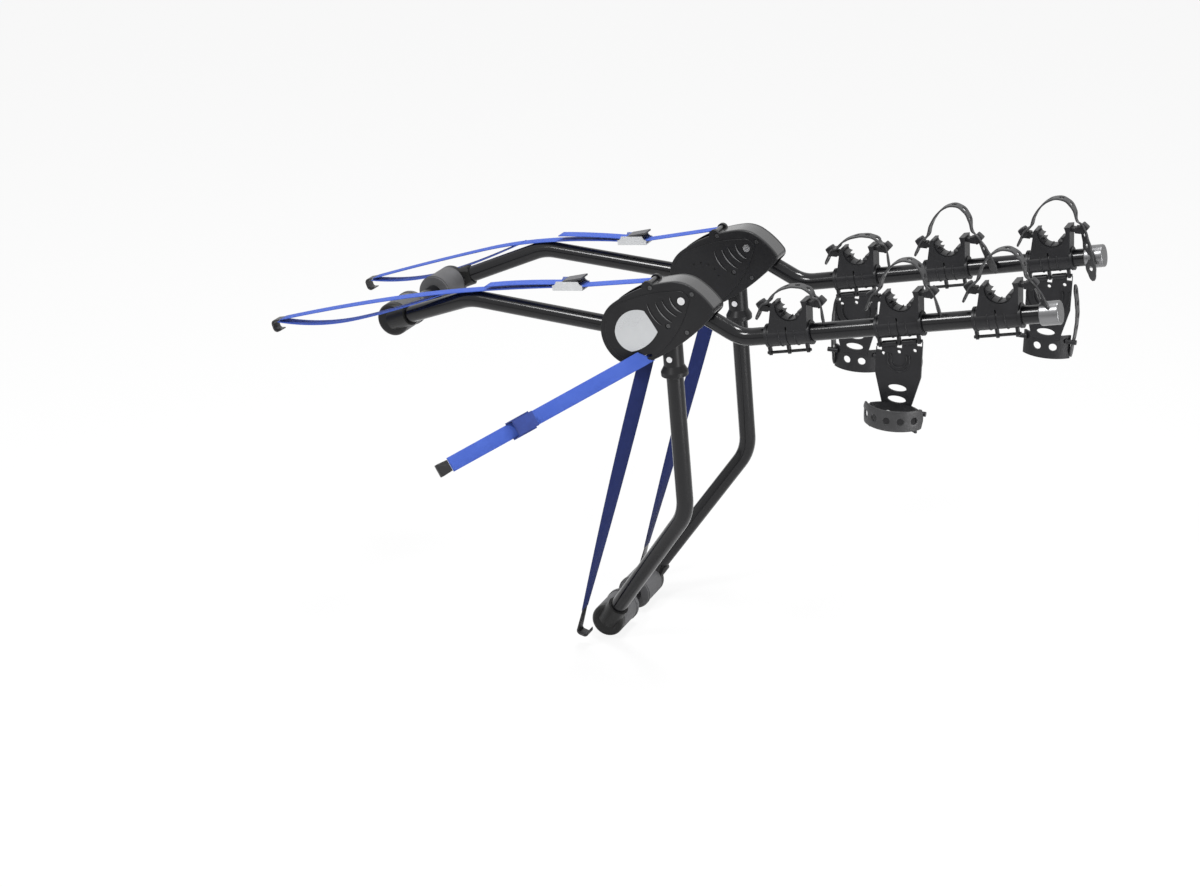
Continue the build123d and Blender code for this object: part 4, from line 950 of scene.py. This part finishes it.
def addHook(name, end, run, across, shank, node):
    run, across = np.asarray(run, float), np.asarray(across, float)
    up = np.cross(across, run)
    reach = shank + hookSheet["thick"] / 2
    corners = [end + run * a + up * b for a, b in ((hookSheet["gap"], 0), (reach, 0),
                                                   (reach, hookSheet["drop"]),
                                                   (reach - hookSheet["lip"], hookSheet["drop"]))]
    path = filletedPath(corners, hookSheet["bend"])
    profile = roundedRectangle(hookSheet["width"], hookSheet["thick"], hookSheet["edge"], 4)
    grow = np.ones((len(path), 2))
    grow[[0, -1]] = hookSheet["endGrow"]
    hook = carryProfile(name, path, across, profile, "hook_black", "rack", grow)
    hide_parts(node)
    return creased(hook, smoothing["hookCrease"])


for sideName, sign in sides.items():
    for kind, webName in (("upper", "upper_strap_"), ("side", "side_strap_"), ("lower", "lower_strap_")):
        path = webs[webName + sideName][1]
        run = (path[-1] - path[-2]) / np.linalg.norm(path[-1] - path[-2])
        across = np.array([0, -1.0, 0])
        if kind == "side":
            across = sign * onSide(sideName, sideStrap["across"])
        across = across - run * (across @ run)
        across /= np.linalg.norm(across)
        addHook("hook_" + kind + "_" + sideName, path[-1], run, across,
                                         shanks[kind], kind + "_hooks")

# Hub details

hubLength = 0.196
# Start, middle and end as shares of the hub's length from the pivot, and the lip's half width
grooveLips = [
    ((-0.295, -0.066), (-0.250, -0.160), (-0.166, -0.230), 0.0007),
    ((-0.221, -0.047), (-0.170, -0.130), (-0.078, -0.191), 0.0011),
    ((-0.168, -0.014), (-0.122, -0.082), (-0.035, -0.133), 0.0009),
    ((-0.098, 0.021), (-0.068, -0.045), (0.008, -0.092), 0.0013),
]
lipShape = {"steps": 40, "round": 10, "high": 0.0006, "shift": 0.0014, "taper": 0.12}
coverFaces = {"outer": 0.175, "inner": 0.125}


# A lip runs along the circle through its three points, moved outwards to the groove's edge. Its cross
# section is an ellipse that swells as the sine of the way along, to its full size at the middle.
def addLip(name, corners, halfWidth, y):
    a, b, c = (np.array(corner) * hubLength for corner in corners)
    middle = np.linalg.solve(2 * np.array([b - a, c - a]), [b @ b - a @ a, c @ c - a @ a])
    radius = np.linalg.norm(a - middle)
    turns = np.unwrap([np.arctan2(*(corner - middle)[::-1]) for corner in (a, b, c)])
    turn = np.linspace(turns[0], turns[2], lipShape["steps"])
    spread = radius + lipShape["shift"]
    path = np.stack([pivot[0] + middle[0] + spread * np.cos(turn), np.full(len(turn), y),
                     pivot[2] + middle[1] + spread * np.sin(turn)], -1)
    swell = np.sin(np.linspace(lipShape["taper"], pi - lipShape["taper"], len(turn)))
    around = np.linspace(0, 2 * pi, lipShape["round"], endpoint=False)
    profile = np.stack([lipShape["high"] * np.cos(around), halfWidth * np.sin(around)], -1)
    # The lips are finished much lighter than the hub plastic around them, a painted highlight along each
    # groove edge.
    carryProfile(name, path, (0, 1, 0), profile, "hub_plastic", "rack",
                 np.stack([swell, swell], -1), "edge_gloss")


for sideName in sides:
    for cover, depth in coverFaces.items():
        for number, (start, middle, end, halfWidth) in enumerate(grooveLips):
            addLip(f"grooveLip_{cover}_{sideName}_{number}", (start, middle, end), halfWidth,
                   sides[sideName] * depth)
print("groove lips laid:", len(sides) * len(coverFaces) * len(grooveLips))

for name, (web, path) in webs.items():
    kind, sideName = name.rsplit("_", 1)
    if kind in ("upper_lead", "upper_tail"):
        continue  # short ends, under six strap widths long
